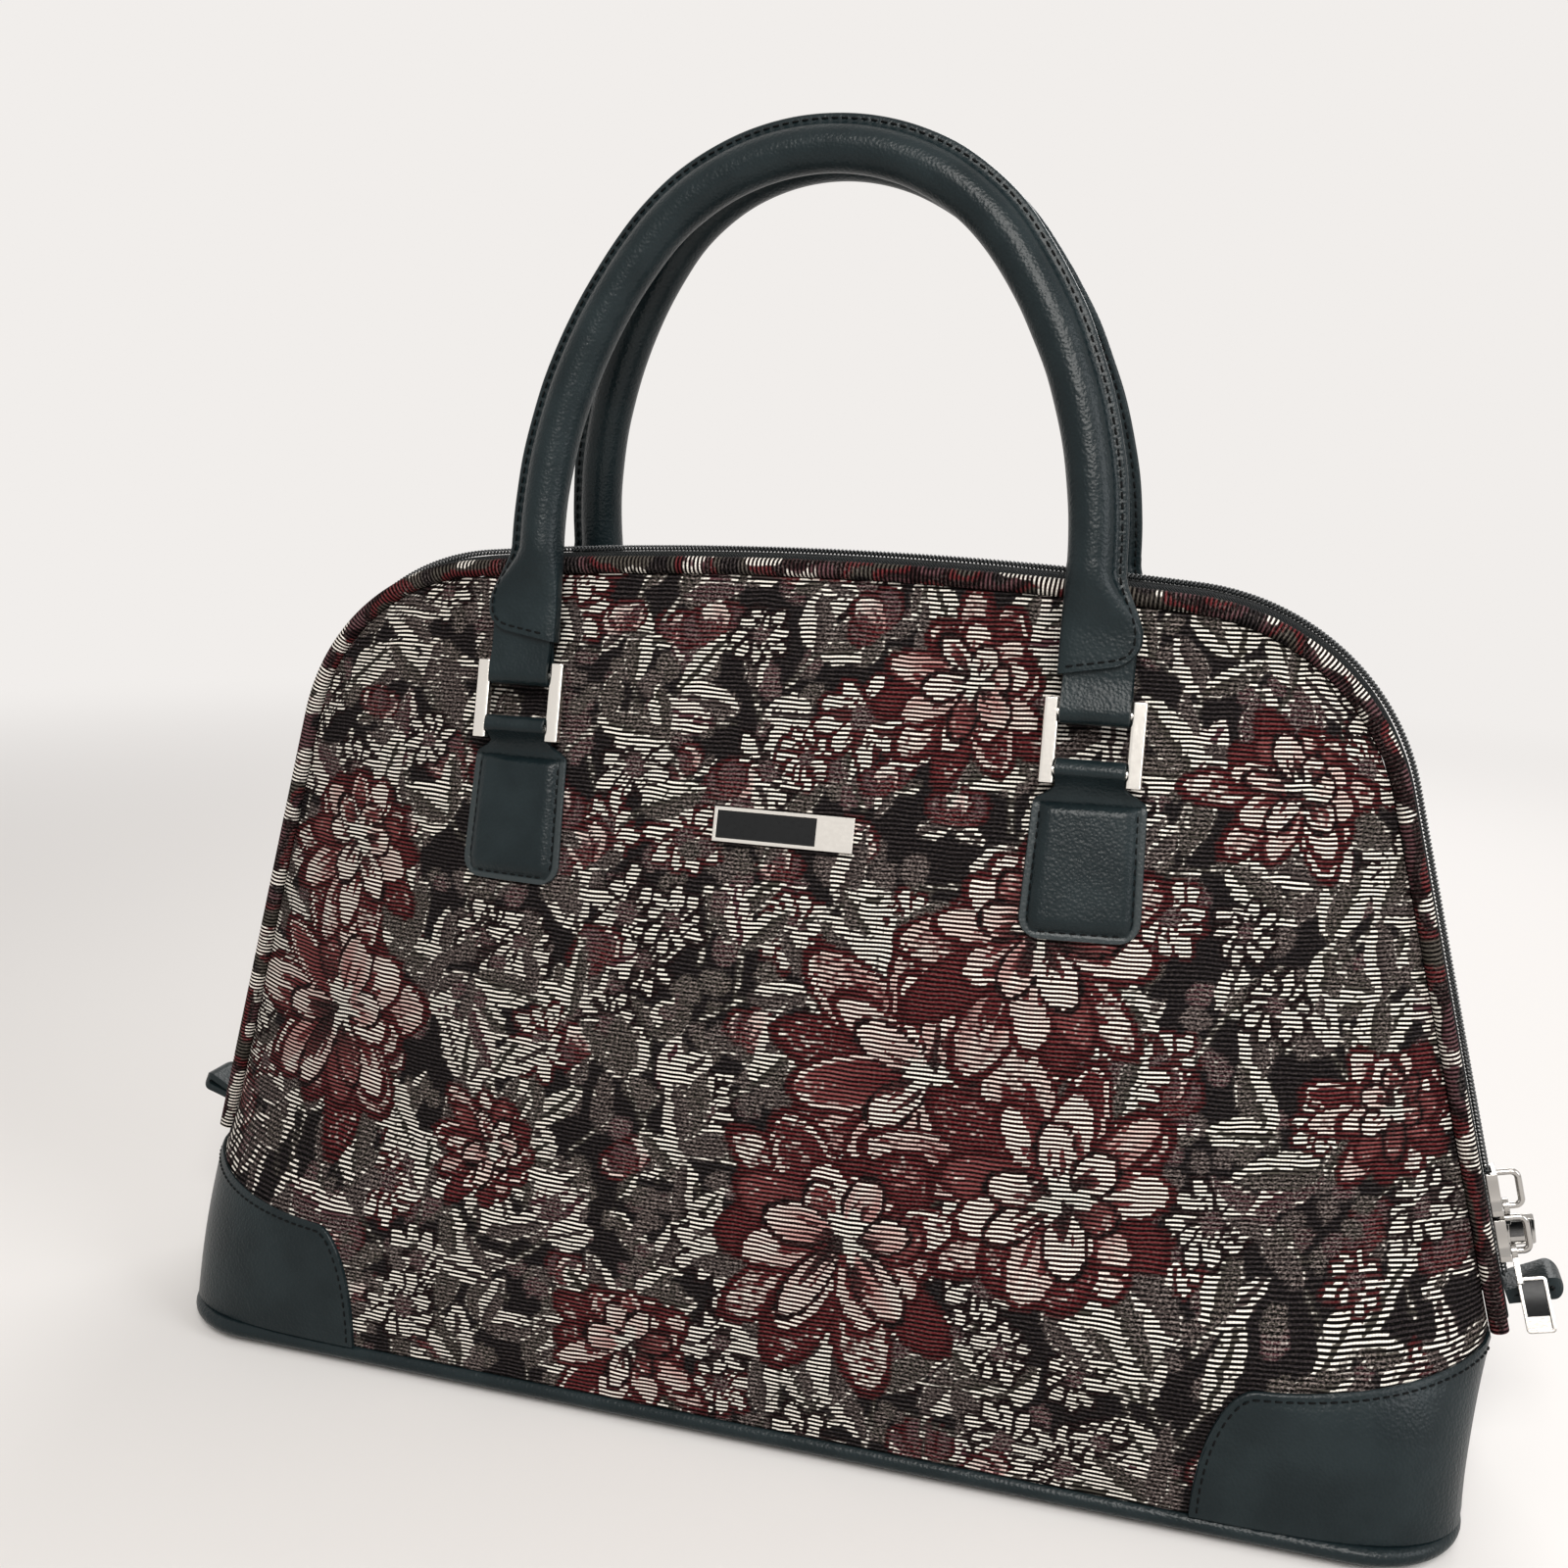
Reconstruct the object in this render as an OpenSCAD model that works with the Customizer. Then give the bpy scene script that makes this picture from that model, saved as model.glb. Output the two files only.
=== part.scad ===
// Dome-topped travel bag in woven tapestry with leather-look trim.
// It is sewn from two crowned panels that lean together over a flat base.
// A zip runs over the dome from end to end, and two arched handles hang
// from metal rings that are held to the panels by leather tabs.
// X runs across the bag, the front faces -Y, and the floor is at Z = 0.

/* [Body] */
// Height of the zip edge above the floor, at the middle
body_h = 330; // [310:1:350]
// Width of the base outline
base_w = 508; // [490:1:524]
// Depth of the base outline
base_d = 160; // [150:1:176]
// Corner radius of the base outline
base_r = 36; // [30:1:42]
// How far each zip end stands out past the base outline
end_flare = 16; // [12:1:24]
// Height of the zip ends above the floor
end_z = 66; // [60:1:74]
// Inward lean of the straight sides in degrees
side_lean = 14.75; // [13:0.25:16.5]
// Radius of the shoulders
shoulder_r = 90; // [80:1:100]
// Radius of the shallow arc over the top
crown_r = 1600; // [1300:10:2000]
// Thickness of a panel: tapestry, foam and lining bonded together
panel_t = 3; // [2.4:0.1:3.6]

/* [Trim] */
// Radius of the piping cords
pipe_r = 3.3; // [3:0.1:3.8]
// Thickness of the leather-look end wraps
wrap_t = 1.5; // [1.2:0.1:2]
// Length of an end wrap along the base, from the end to its curved edge
wrap_reach = 90; // [78:1:104]
// Thickness of the base panel
base_t = 2.5; // [2:0.1:3.2]
// Thickness of the stiffening board inside the base
board_t = 3; // [2:0.1:4]
// Height of the feet
foot_h = 4; // [3:0.1:5]
// Radius of a foot where it meets the base
foot_r = 7; // [6:0.1:8]
// Length of the name plate
plate_w = 54; // [48:1:60]
// Height of the name plate
plate_h = 13; // [11:0.5:15]

/* [Zip] */
// Half of the width between the two dome pipings
zip_half = 13; // [12:0.1:14]
// Thickness of the zip tape
tape_t = 1.2; // [1:0.1:1.5]
// Half of the width of the closed coil
coil_half = 3; // [2.6:0.1:3.4]
// Height of the coil above the tape
coil_h = 2.4; // [2:0.1:2.8]
// Length of a slider
slider_len = 16; // [14:0.5:17]
// Length of a pull from its pivot to its end
pull_len = 29; // [26:0.5:32]
// Rise of the zip tape from the piping up to the coil
roof_rise = 3.5; // [2:0.1:5]
// Reach of the zip end tabs from the tape
tab_reach = 20; // [17:0.5:23]

/* [Handles] */
// Distance of the rings from the middle
ring_x = 110; // [104:1:116]
// Height of the rings' lower bars
ring_z = 261; // [254:1:266]
// Distance between a ring's two bars
ring_pitch = 20; // [18:0.5:23]
// Width of the straps that pass through the rings
strap_w = 24.4; // [22:0.2:27]
// Thickness of the strap leather
strap_t = 2; // [1.6:0.1:2.4]
// Radius of the ring bars
bar_r = 2; // [1.7:0.1:2.4]
// Height of a ring's side plates
ring_h = 30; // [28:0.5:34]
// Radius of the handle tube
tube_r = 8.5; // [7.5:0.1:9.5]
// Radius of the top of the handle arch, at the middle of the tube
arch_r = 84.5; // [76:0.5:92]
// Half of the distance between the legs of a handle
leg_x = 104.5; // [98:0.5:110]
// Height of the middle of the tube at the top of the arch
apex_z = 476; // [464:1:490]
// Width of a sewn tab at its lower end
pad_w = 42; // [38:0.5:46]
// Length of a sewn tab from its lower end to the ring's bar
pad_h = 59.5; // [52:0.5:64]

/* [Hidden] */
$fn = 48;
arc_facets = 96;

tapestry = "#4a3a3c";
leather = "#1d2629";
webbing = "#16191a";
metal = "#c9c6c0";
enamel = "#15181a";
board = "#6b5b48";

// Clearances and overruns
seam_gap = 0.2;
pivot_gap = 0.2;
rest_gap = 0.3;
overrun = 2;

// Base stack, from the floor upwards
base_z = foot_h;
base_pipe_z = base_z + base_t;
board_z = base_z + base_t + seam_gap;
panel_z = base_pipe_z + pipe_r + seam_gap;
base_pipe_inset = 1.5;
base_panel_inset = base_pipe_inset + pipe_r + seam_gap;
board_inset = base_panel_inset + 2 * panel_t;

// Zip edge outline: straight leaning sides, round shoulders, shallow crown
lean_n = [cos(side_lean), sin(side_lean)];
lean_t = [-sin(side_lean), cos(side_lean)];
end_p = [base_w / 2 + end_flare, end_z];
crown_c = [0, body_h - crown_r];
shoulder_from = end_p - shoulder_r * lean_n - crown_c;
shoulder_b = shoulder_from * lean_t;
side_len = -shoulder_b
    + sqrt(shoulder_b * shoulder_b - shoulder_from * shoulder_from + pow(crown_r - shoulder_r, 2));
shoulder_c = end_p - shoulder_r * lean_n + side_len * lean_t;
crown_a = atan2(shoulder_c[1] - crown_c[1], shoulder_c[0] - crown_c[0]);

// Dome piping and the panel edge that it hides
pipe_proud = 1;
pipe_sides = 12;
pipe_sink = roof_rise + pipe_proud;
pipe_y = zip_half + pipe_r + seam_gap;
panel_inset = pipe_sink + pipe_r + seam_gap;
panel_edge_y = pipe_y;

// Panel shape: bulge of the side profile, and how square the sections are
bulge_share = 1.65;
base_square_share = 12;
base_round_share = 2;
dome_square_share = 2.6;
dome_round_share = 1.15;
corner_fade_share = 1.5;
corner_fade_z = corner_fade_share * end_z;
flare_share = 1.6;

// Panel grid: rows up the side, columns out from the middle
low_rows = 6;
side_rows = 10;
shoulder_rows = 5;
half_cols = 14;
wrap_from_col = 5;
wrap_end_cols = 3;

function clamp01(v) = max(0, min(1, v));
function ease(k) = k * k * (3 - 2 * k);
function mix(a, b, k) = a + (b - a) * k;

// Half width of the outline at height z, moved in by inset
function side_x(z, inset) = end_p[0] - (z - end_z) * tan(side_lean) - inset / cos(side_lean);
function low_x(z, inset) =
    mix(base_w / 2, side_x(end_z, inset), pow(clamp01((z - panel_z) / (end_z - panel_z)), flare_share));
function shoulder_z(a, inset) = shoulder_c[1] + (shoulder_r - inset) * sin(a);
function arc_x(z, c, r) = c[0] + sqrt(max(0, r * r - pow(z - c[1], 2)));
function half_w(z, inset) =
    z < end_z ? low_x(z, inset)
    : z < shoulder_z(side_lean, inset) ? side_x(z, inset)
    : z < shoulder_z(crown_a, inset) ? arc_x(z, shoulder_c, shoulder_r - inset)
    : arc_x(z, crown_c, crown_r - inset);

// Depth of the front panel's outer face in front of the middle plane
function end_share(z) = clamp01((z - panel_z) / (end_z - panel_z));
function edge_y(z) = mix(base_d / 2 - base_r, panel_edge_y, end_share(z));
function rise_share(z) = clamp01((z - panel_z) / (body_h - panel_inset - panel_z));
function centre_y(z) = mix(base_d / 2, panel_edge_y, pow(rise_share(z), bulge_share));
function panel_y(x, z) =
    let(k = ease(clamp01((z - panel_z) / (corner_fade_z - panel_z))),
        square_share = mix(base_square_share, dome_square_share, k),
        round_share = mix(base_round_share, dome_round_share, k),
        across = clamp01(abs(x) / max(half_w(z, panel_inset), seam_gap)))
    mix(edge_y(z), centre_y(z), pow(max(0, 1 - pow(across, square_share)), 1 / round_share));

// Boundary of the panel: up the right side to the middle of the shoulder, then along the top
mid_a = (side_lean + crown_a) / 2;
panel_shoulder_r = shoulder_r - panel_inset;
panel_crown_r = crown_r - panel_inset;
corner_p = shoulder_c + panel_shoulder_r * [cos(mid_a), sin(mid_a)];
low_edge = [for (i = [0:low_rows - 1])
    let(z = mix(panel_z, end_z, i / low_rows)) [half_w(z, panel_inset), z]];
side_edge = [for (i = [0:side_rows - 1])
    let(z = mix(end_z, shoulder_z(side_lean, panel_inset), i / side_rows)) [side_x(z, panel_inset), z]];
shoulder_edge = [for (i = [0:shoulder_rows])
    let(a = mix(side_lean, mid_a, i / shoulder_rows)) shoulder_c + panel_shoulder_r * [cos(a), sin(a)]];
right_edge = concat(low_edge, side_edge, shoulder_edge);
crown_len = panel_crown_r * (90 - crown_a) * PI / 180;
corner_len = panel_shoulder_r * (crown_a - mid_a) * PI / 180;
function top_edge(s) =
    let(run = abs(s) * (crown_len + corner_len),
        a = run < crown_len ? 90 - run / panel_crown_r * 180 / PI
            : crown_a - (run - crown_len) / panel_shoulder_r * 180 / PI,
        p = run < crown_len ? crown_c + panel_crown_r * [cos(a), sin(a)]
            : shoulder_c + panel_shoulder_r * [cos(a), sin(a)])
    [sign(s) * p[0], p[1]];
function panel_point(edge, s) =
    let(t = (edge[1] - panel_z) / (corner_p[1] - panel_z),
        top = top_edge(s),
        x = s * edge[0] + t * (top[0] - s * corner_p[0]),
        z = edge[1] + t * (top[1] - corner_p[1]))
    [x, -panel_y(x, z), z];
function column_share(j) = sin(90 * j / half_cols);
panel_grid = [for (edge = right_edge) [for (j = [-half_cols:half_cols]) panel_point(edge, column_share(j))]];

// Closed solid between two grids of the same size, the first one facing outwards
function grid_normal(g, i, j) =
    let(rows = len(g) - 1,
        cols = len(g[0]) - 1,
        up = g[min(rows, i + 1)][j] - g[max(0, i - 1)][j],
        right = g[i][min(cols, j + 1)] - g[i][max(0, j - 1)],
        n = cross(right, up))
    n / norm(n);
function grid_offset(g, d) =
    [for (i = [0:len(g) - 1]) [for (j = [0:len(g[0]) - 1]) g[i][j] + d * grid_normal(g, i, j)]];
function split_quad(q, first) =
    first ? [[q[0], q[1], q[2]], [q[0], q[2], q[3]]] : [[q[1], q[2], q[3]], [q[1], q[3], q[0]]];
// From the column turn on, the quads are split the other way, and swap exchanges the two ways:
// shells that lie on one another are split alike, so that their gap is even
module grid_solid(outer, inner, turn = undef, swap = false) {
    rows = len(outer) - 1;
    cols = len(outer[0]) - 1;
    count = (rows + 1) * (cols + 1);
    function o(i, j) = i * (cols + 1) + j;
    function n(i, j) = count + o(i, j);
    faces = concat(
        [for (i = [0:rows - 1]) for (j = [0:cols - 1])
            let(first = is_undef(turn) || (j < turn) != swap)
            each concat(split_quad([o(i, j), o(i + 1, j), o(i + 1, j + 1), o(i, j + 1)], first),
                        split_quad([n(i, j), n(i, j + 1), n(i + 1, j + 1), n(i + 1, j)], first))],
        [for (j = [0:cols - 1])
            each [[o(0, j), o(0, j + 1), n(0, j + 1)], [o(0, j), n(0, j + 1), n(0, j)],
                  [o(rows, j + 1), o(rows, j), n(rows, j)], [o(rows, j + 1), n(rows, j), n(rows, j + 1)]]],
        [for (i = [0:rows - 1])
            each [[o(i + 1, 0), o(i, 0), n(i, 0)], [o(i + 1, 0), n(i, 0), n(i + 1, 0)],
                  [o(i, cols), o(i + 1, cols), n(i + 1, cols)], [o(i, cols), n(i + 1, cols), n(i, cols)]]]);
    polyhedron([for (g = [outer, inner]) for (row = g) for (p = row) p], faces, convexity = 6);
}

// Points along the zip edge from the right-hand end to the left-hand one, each with its way out of the bag
arc_steps = 10;
crown_steps = 8;
function edge_arc(c, r, a) = [c + r * [cos(a), sin(a)], [cos(a), sin(a)]];
function half_edge(start) = concat(
    [[end_p + start * lean_t, lean_n]],
    [for (i = [0:arc_steps]) edge_arc(shoulder_c, shoulder_r, mix(side_lean, crown_a, i / arc_steps))]);
function flip_x(p) = [-p[0], p[1]];
function whole_edge(start) =
    let(half = half_edge(start))
    concat(half,
        [for (i = [1:crown_steps - 1])
            edge_arc(crown_c, crown_r, mix(crown_a, 180 - crown_a, i / crown_steps))],
        [for (i = [len(half) - 1:-1:0]) [flip_x(half[i][0]), flip_x(half[i][1])]]);

// Carries a flat profile along the zip edge. The profile runs clockwise;
// its x points out of the bag and its y points to the front
module dome_sweep(profile, start = 0) {
    path = whole_edge(start);
    sides = len(profile);
    last = len(path) - 1;
    function at(i, j) = i * sides + j % sides;
    points = [for (p = path) for (q = profile)
        let(xz = p[0] + q[0] * p[1]) [xz[0], -q[1], xz[1]]];
    faces = concat(
        [[for (j = [0:sides - 1]) at(0, sides - 1 - j)], [for (j = [0:sides - 1]) at(last, j)]],
        [for (i = [0:last - 1]) for (j = [0:sides - 1])
            each [[at(i, j), at(i, j + 1), at(i + 1, j + 1)], [at(i, j), at(i + 1, j + 1), at(i + 1, j)]]]);
    polyhedron(points, faces, convexity = 6);
}

// Frame on the right-hand zip edge: x out of the bag, y up the side, z to the front
module side_frame(up) {
    rotate([90, 0, 0])
        translate(end_p + up * lean_t)
            rotate([0, 0, side_lean]) children();
}

module to_rear() {
    mirror([0, 1, 0]) children();
}

module to_left() {
    mirror([1, 0, 0]) children();
}

module round_rect(w, d, r) {
    square([w - 2 * r, d], center = true);
    square([w, d - 2 * r], center = true);
    for (sx = [-1, 1], sy = [-1, 1])
        translate([sx * (w / 2 - r), sy * (d / 2 - r)]) circle(r);
}

// Panels and dome piping
module front_panel() {
    color(tapestry) grid_solid(panel_grid, grid_offset(panel_grid, -panel_t));
}

module front_piping() {
    color(tapestry)
        dome_sweep([for (i = [0:pipe_sides - 1])
            let(a = -360 * i / pipe_sides) [-pipe_sink, pipe_y] + pipe_r * [cos(a), sin(a)]]);
}

// Zip
coil_slit = 0.45;
coil_start = 14;
coil_round_share = 0.6;
tape_top = -seam_gap;

module front_zip_tape() {
    crest = slider_half + rest_gap;
    edge = tape_top - roof_rise;
    color(webbing)
        dome_sweep([
            [tape_top, coil_slit], [tape_top - tape_t, coil_slit], [tape_top - tape_t, crest],
            [edge - tape_t, zip_half], [edge, zip_half], [tape_top, crest]]);
}

module front_zip_coil() {
    color(webbing)
        dome_sweep([
            [coil_h, coil_slit], [0, coil_slit], [0, coil_half],
            [coil_round_share * coil_h, coil_half], [coil_h, coil_round_share * coil_half]], coil_start);
}

// Zip end tab: a soft strap folded back on itself, sewn over the end of the zip a little to the rear
zip_tab_up = 5.5;
zip_tab_tilt = 8;
zip_tab_half = 8;
zip_tab_shift = 5;
zip_tab_root_half = 2.6;
zip_tab_nose_r = 4.2;
zip_tab_slit_r = 1.1;
zip_tab_corner = 4;

module zip_tab_profile(root_half, nose_r, from) {
    nose_x = tab_reach - zip_tab_nose_r;
    translate([nose_x, 0]) circle(nose_r);
    polygon([[from, -root_half], [nose_x, -nose_r], [nose_x, nose_r], [from, root_half]]);
}

module right_zip_tab() {
    color(leather)
        side_frame(zip_tab_up)
            rotate([0, 0, zip_tab_tilt])
                translate([zip_tab_root_half * sin(zip_tab_tilt), 0, -zip_tab_shift])
                    intersection() {
                        translate([0, 0, -zip_tab_half])
                            linear_extrude(2 * zip_tab_half)
                                difference() {
                                    zip_tab_profile(zip_tab_root_half, zip_tab_nose_r, 0);
                                    zip_tab_profile(seam_gap, zip_tab_slit_r, zip_tab_root_half);
                                }
                        rotate([90, 0, 0])
                            translate([0, 0, -tab_reach])
                                linear_extrude(2 * tab_reach)
                                    translate([tab_reach / 2 - zip_tab_corner, 0])
                                        round_rect(
                                            tab_reach + 2 * zip_tab_corner, 2 * zip_tab_half, zip_tab_corner);
                    }
}

// Sliders: an outer plate with side flanges, an inner plate, a narrow web between the coils,
// and a round wire bail that carries the pull
slider_half = 5.6;
slider_waist = 1.2;
slider_plate_t = 1.6;
slider_web_half = 0.25;
slider_web_len = 4;
flange_half = coil_half + rest_gap;
slider_top = coil_h + rest_gap + slider_plate_t;
bail_r = 1.2;
bail_h = 7;
bail_bend = 2.5;
bail_half = slider_len / 2 - bail_r - rest_gap;
lower_slider_up = coil_start + slider_len / 2 + 4 * slider_plate_t;
upper_slider_up = lower_slider_up + slider_len + slider_plate_t;

module slider_outline() {
    difference() {
        translate([-slider_half, -slider_len / 2]) square([2 * slider_half, slider_len]);
        for (side = [-1, 1])
            translate([side * (slider_half + slider_len - slider_waist), 0]) circle(slider_len);
    }
}

// Lays a flat outline on the zip edge, at a distance out from the tape
module on_edge(out, t) {
    rotate([0, 90, 0]) translate([0, 0, out]) linear_extrude(t) children();
}

module bail() {
    sink = slider_plate_t / 2;
    for (end = [-1, 1]) {
        translate([slider_top - sink, end * bail_half, 0])
            rotate([0, 90, 0]) cylinder(bail_h - bail_bend + sink, r = bail_r);
        translate([slider_top + bail_h - bail_bend, end * (bail_half - bail_bend), 0])
            rotate([0, 0, end > 0 ? 0 : -90])
                rotate_extrude(angle = 90) translate([bail_bend, 0]) circle(bail_r);
    }
    translate([slider_top + bail_h, bail_half - bail_bend, 0])
        rotate([90, 0, 0]) cylinder(2 * (bail_half - bail_bend), r = bail_r);
}

module slider() {
    inner_plate = tape_top - tape_t - rest_gap - slider_plate_t;
    color(metal) {
        on_edge(coil_h + rest_gap, slider_plate_t) slider_outline();
        on_edge(rest_gap, coil_h)
            difference() {
                slider_outline();
                translate([-flange_half, -slider_len]) square([2 * flange_half, 2 * slider_len]);
            }
        on_edge(inner_plate, slider_plate_t) slider_outline();
        translate([inner_plate + slider_plate_t / 2, -slider_web_len / 2, -slider_web_half])
            cube([slider_top - inner_plate - slider_plate_t, slider_web_len, 2 * slider_web_half]);
        bail();
    }
}

// Pulls: an eye round the bail's lower post, a neck, and a framed plate that stands on edge.
// The pull hangs to one side of the zip, turned away from straight down by its swing
lower_swing = 28;
upper_swing = 38;
eye_t = 2;
eye_r = 2.9;
pull_t = 2.2;
pull_w = 10;
pull_neck_half = 1.5;
pull_plate_from = 9.5;
pull_frame = 1.2;
pull_recess = 0.5;
pull_corner = 1.5;

module pull(swing) {
    plate_len = pull_len - pull_plate_from;
    color(metal)
        translate([slider_top + rest_gap, -bail_half, 0])
            rotate([-swing, 0, 0]) {
                difference() {
                    on_edge(0, eye_t) {
                        circle(eye_r);
                        translate([-pull_neck_half, -pull_plate_from - pull_t])
                            square([2 * pull_neck_half, pull_plate_from + pull_t]);
                    }
                    on_edge(-overrun, eye_t + 2 * overrun) circle(bail_r + pivot_gap / 2);
                }
                translate([0, -pull_len, -pull_t / 2])
                    difference() {
                        linear_extrude(pull_t)
                            translate([pull_w / 2, plate_len / 2]) round_rect(pull_w, plate_len, pull_corner);
                        for (z = [pull_t - pull_recess, pull_recess - pull_t])
                            translate([pull_frame, pull_frame, z])
                                cube([pull_w - 2 * pull_frame, plate_len - 2 * pull_frame, pull_t]);
                    }
            }
}

// End wraps: leather-look shells round the two lower ends, with a curved upper edge
wrap_top = end_z - (pipe_sink + pipe_r) * sin(side_lean) - rest_gap;
wrap_corner_share = 0.2;
wrap_shoulder_share = 0.88;
wrap_sweep_share = 1.6;
wrap_steps = 16;
wrap_x = base_w / 2 - wrap_reach;
wrap_side_x = end_p[0] + overrun;
wrap_front = [for (i = [0:low_rows]) [for (j = [half_cols + wrap_from_col:2 * half_cols]) panel_grid[i][j]]];
function wrap_row(row) =
    let(edge = row[len(row) - 1])
    concat(row,
        [for (q = [1:2 * wrap_end_cols - 1])
            [edge[0], mix(edge[1], -edge[1], q / (2 * wrap_end_cols)), edge[2]]],
        [for (j = [len(row) - 1:-1:0]) [row[j][0], -row[j][1], row[j][2]]]);
wrap_grid = [for (row = wrap_front) wrap_row(row)];
// The edge climbs a quarter ellipse from the base, then sweeps up gently to the zip end
function wrap_edge_share(v) =
    let(climb = clamp01(v / wrap_corner_share),
        sweep = clamp01((v - wrap_corner_share) / (1 - wrap_corner_share)))
    mix(wrap_shoulder_share * sqrt(1 - pow(1 - climb, 2)), 1, pow(sweep, wrap_sweep_share));
wrap_profile = concat(
    [for (i = [0:wrap_steps])
        let(v = pow(i / wrap_steps, 2))
        [mix(wrap_x, side_x(end_z, panel_inset), v), mix(panel_z, wrap_top, wrap_edge_share(v))]],
    [[wrap_side_x, wrap_top], [wrap_side_x, panel_z - overrun], [wrap_x, panel_z - overrun]]);

module end_wrap(swap) {
    color(leather)
        intersection() {
            grid_solid(grid_offset(wrap_grid, seam_gap + wrap_t), grid_offset(wrap_grid, seam_gap),
                       turn = len(wrap_grid[0]) / 2, swap = swap);
            translate([0, base_d, 0]) rotate([90, 0, 0]) linear_extrude(2 * base_d) polygon(wrap_profile);
        }
}

module right_end_wrap() {
    end_wrap(false);
}

module left_end_wrap() {
    to_left() end_wrap(true);
}

// Base
foot_flat_r = 3.2;
foot_sphere_z = (foot_r * foot_r - foot_flat_r * foot_flat_r + foot_h * foot_h) / (2 * foot_h);
foot_sphere_r = norm([foot_flat_r, foot_sphere_z]);
stem_r = 1.6;
stem_gap = 0.1;
rivet_r = 4;
rivet_t = 1;
foot_x = base_w / 2 - base_r;
foot_y = base_d / 2 - base_r + foot_r;
board_top = board_z + board_t;

module base_plate(inset, z, t) {
    difference() {
        translate([0, 0, z])
            linear_extrude(t) round_rect(base_w - 2 * inset, base_d - 2 * inset, base_r - inset);
        for (sx = [-1, 1], sy = [-1, 1])
            translate([sx * foot_x, sy * foot_y, z - overrun])
                cylinder(t + 2 * overrun, r = stem_r + stem_gap);
    }
}

module base_panel() {
    color(leather) base_plate(base_panel_inset, base_z, base_t);
}

module base_board() {
    color(board) base_plate(board_inset, board_z, board_t);
}

module base_piping() {
    run_x = base_w - 2 * base_r;
    run_y = base_d - 2 * base_r;
    bend = base_r - base_pipe_inset;
    color(leather)
        translate([0, 0, base_pipe_z]) {
            for (side = [-1, 1]) {
                translate([-run_x / 2, side * (run_y / 2 + bend), 0])
                    rotate([0, 90, 0]) cylinder(run_x, r = pipe_r);
                translate([side * (run_x / 2 + bend), run_y / 2, 0])
                    rotate([90, 0, 0]) cylinder(run_y, r = pipe_r);
            }
            for (corner = [[1, 1, 0], [-1, 1, 90], [-1, -1, 180], [1, -1, 270]])
                translate([corner[0] * run_x / 2, corner[1] * run_y / 2, 0])
                    rotate([0, 0, corner[2]])
                        rotate_extrude(angle = 90) translate([bend, 0]) circle(pipe_r);
        }
}

module foot(sx, sy) {
    color(webbing)
        translate([sx * foot_x, sy * foot_y, 0]) {
            intersection() {
                translate([0, 0, foot_sphere_z]) sphere(foot_sphere_r);
                cylinder(foot_h - seam_gap, r = foot_r);
            }
            translate([0, 0, foot_h / 2]) cylinder(board_top + seam_gap - foot_h / 2, r = stem_r);
            translate([0, 0, board_top + seam_gap]) cylinder(rivet_t, r = rivet_r);
        }
}

// Name plate: a plain framed plate with a dark enamel field and a polished end
plate_z = 231;
plate_t = 1.8;
plate_frame = 1.3;
plate_end_share = 0.24;
inlay_t = 0.6;
inlay_gap = 0.05;
plate_lean = atan2(panel_y(0, plate_z - plate_h / 2) - panel_y(0, plate_z + plate_h / 2), plate_h);
inlay_w = plate_w * (1 - plate_end_share) - 2 * plate_frame;
inlay_h = plate_h - 2 * plate_frame;
inlay_x = -plate_w / 2 + plate_frame;

module plate_frame_at() {
    translate([0, -panel_y(0, plate_z) - rest_gap, plate_z])
        rotate([90 - plate_lean, 0, 0]) children();
}

module name_plate() {
    color(metal)
        plate_frame_at()
            difference() {
                translate([-plate_w / 2, -plate_h / 2, 0]) cube([plate_w, plate_h, plate_t]);
                translate([inlay_x, -inlay_h / 2, plate_t - inlay_t - inlay_gap])
                    cube([inlay_w, inlay_h, plate_t]);
            }
}

module name_plate_inlay() {
    color(enamel)
        plate_frame_at()
            translate([inlay_x + inlay_gap, inlay_gap - inlay_h / 2, plate_t - inlay_t])
                cube([inlay_w - 2 * inlay_gap, inlay_h - 2 * inlay_gap, inlay_t]);
}

// Handle hardware. The ring's lower bar stands off the panel in the tab's loop,
// and the handles lean in until their arches meet over the middle of the bag.
loop_r = bar_r + pivot_gap + strap_t;
ring_stand_off = loop_r + 2 * strap_t;
lower_bar_y = -panel_y(ring_x, ring_z) - ring_stand_off;
upper_bar_z = ring_z + ring_pitch;
leg_gap = 1.2;
arch_gap = 0.6;
leg_pass_y = -(pipe_y + pipe_r + leg_gap + tube_r);
apex_y = -(tube_r + arch_gap / 2);
handle_slope = (apex_y - leg_pass_y) / (apex_z - body_h);
upper_bar_y = leg_pass_y - handle_slope * (body_h - upper_bar_z);
handle_lean = atan(handle_slope);
ring_lean = atan2(upper_bar_y - lower_bar_y, ring_pitch);
bar_pitch = norm([upper_bar_y - lower_bar_y, ring_pitch]);

// Rings: two bars between two flat side plates
ring_inner = strap_w + 2 * rest_gap;
ring_plate_w = 5.4;
ring_plate_t = 4.2;
ring_plate_r = 1.2;
ring_sweep_r = norm([(ring_h - bar_pitch) / 2, ring_plate_t / 2]);

// Tabs: a padded leather piece sewn to the panel, with a neck that lifts off and loops round the ring's bar.
// The neck is down to the strap's width below the ends of the ring's plates
pad_foot_z = ring_z - pad_h;
pad_corner = 8;
pad_flare_h = 7;
pad_top_z = ring_z - ring_sweep_r - rest_gap - pad_flare_h;
pad_len = pad_top_z - pad_foot_z;
pad_bulge = 2.2;
pad_rows = 10;
flare_rows = 3;
pad_half_cols = 4;
pad_taper_share = 0.93;
pad_rim_share = 0.2;
neck_front_y = lower_bar_y - loop_r;
neck_back_y = lower_bar_y + loop_r - seam_gap;

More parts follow.
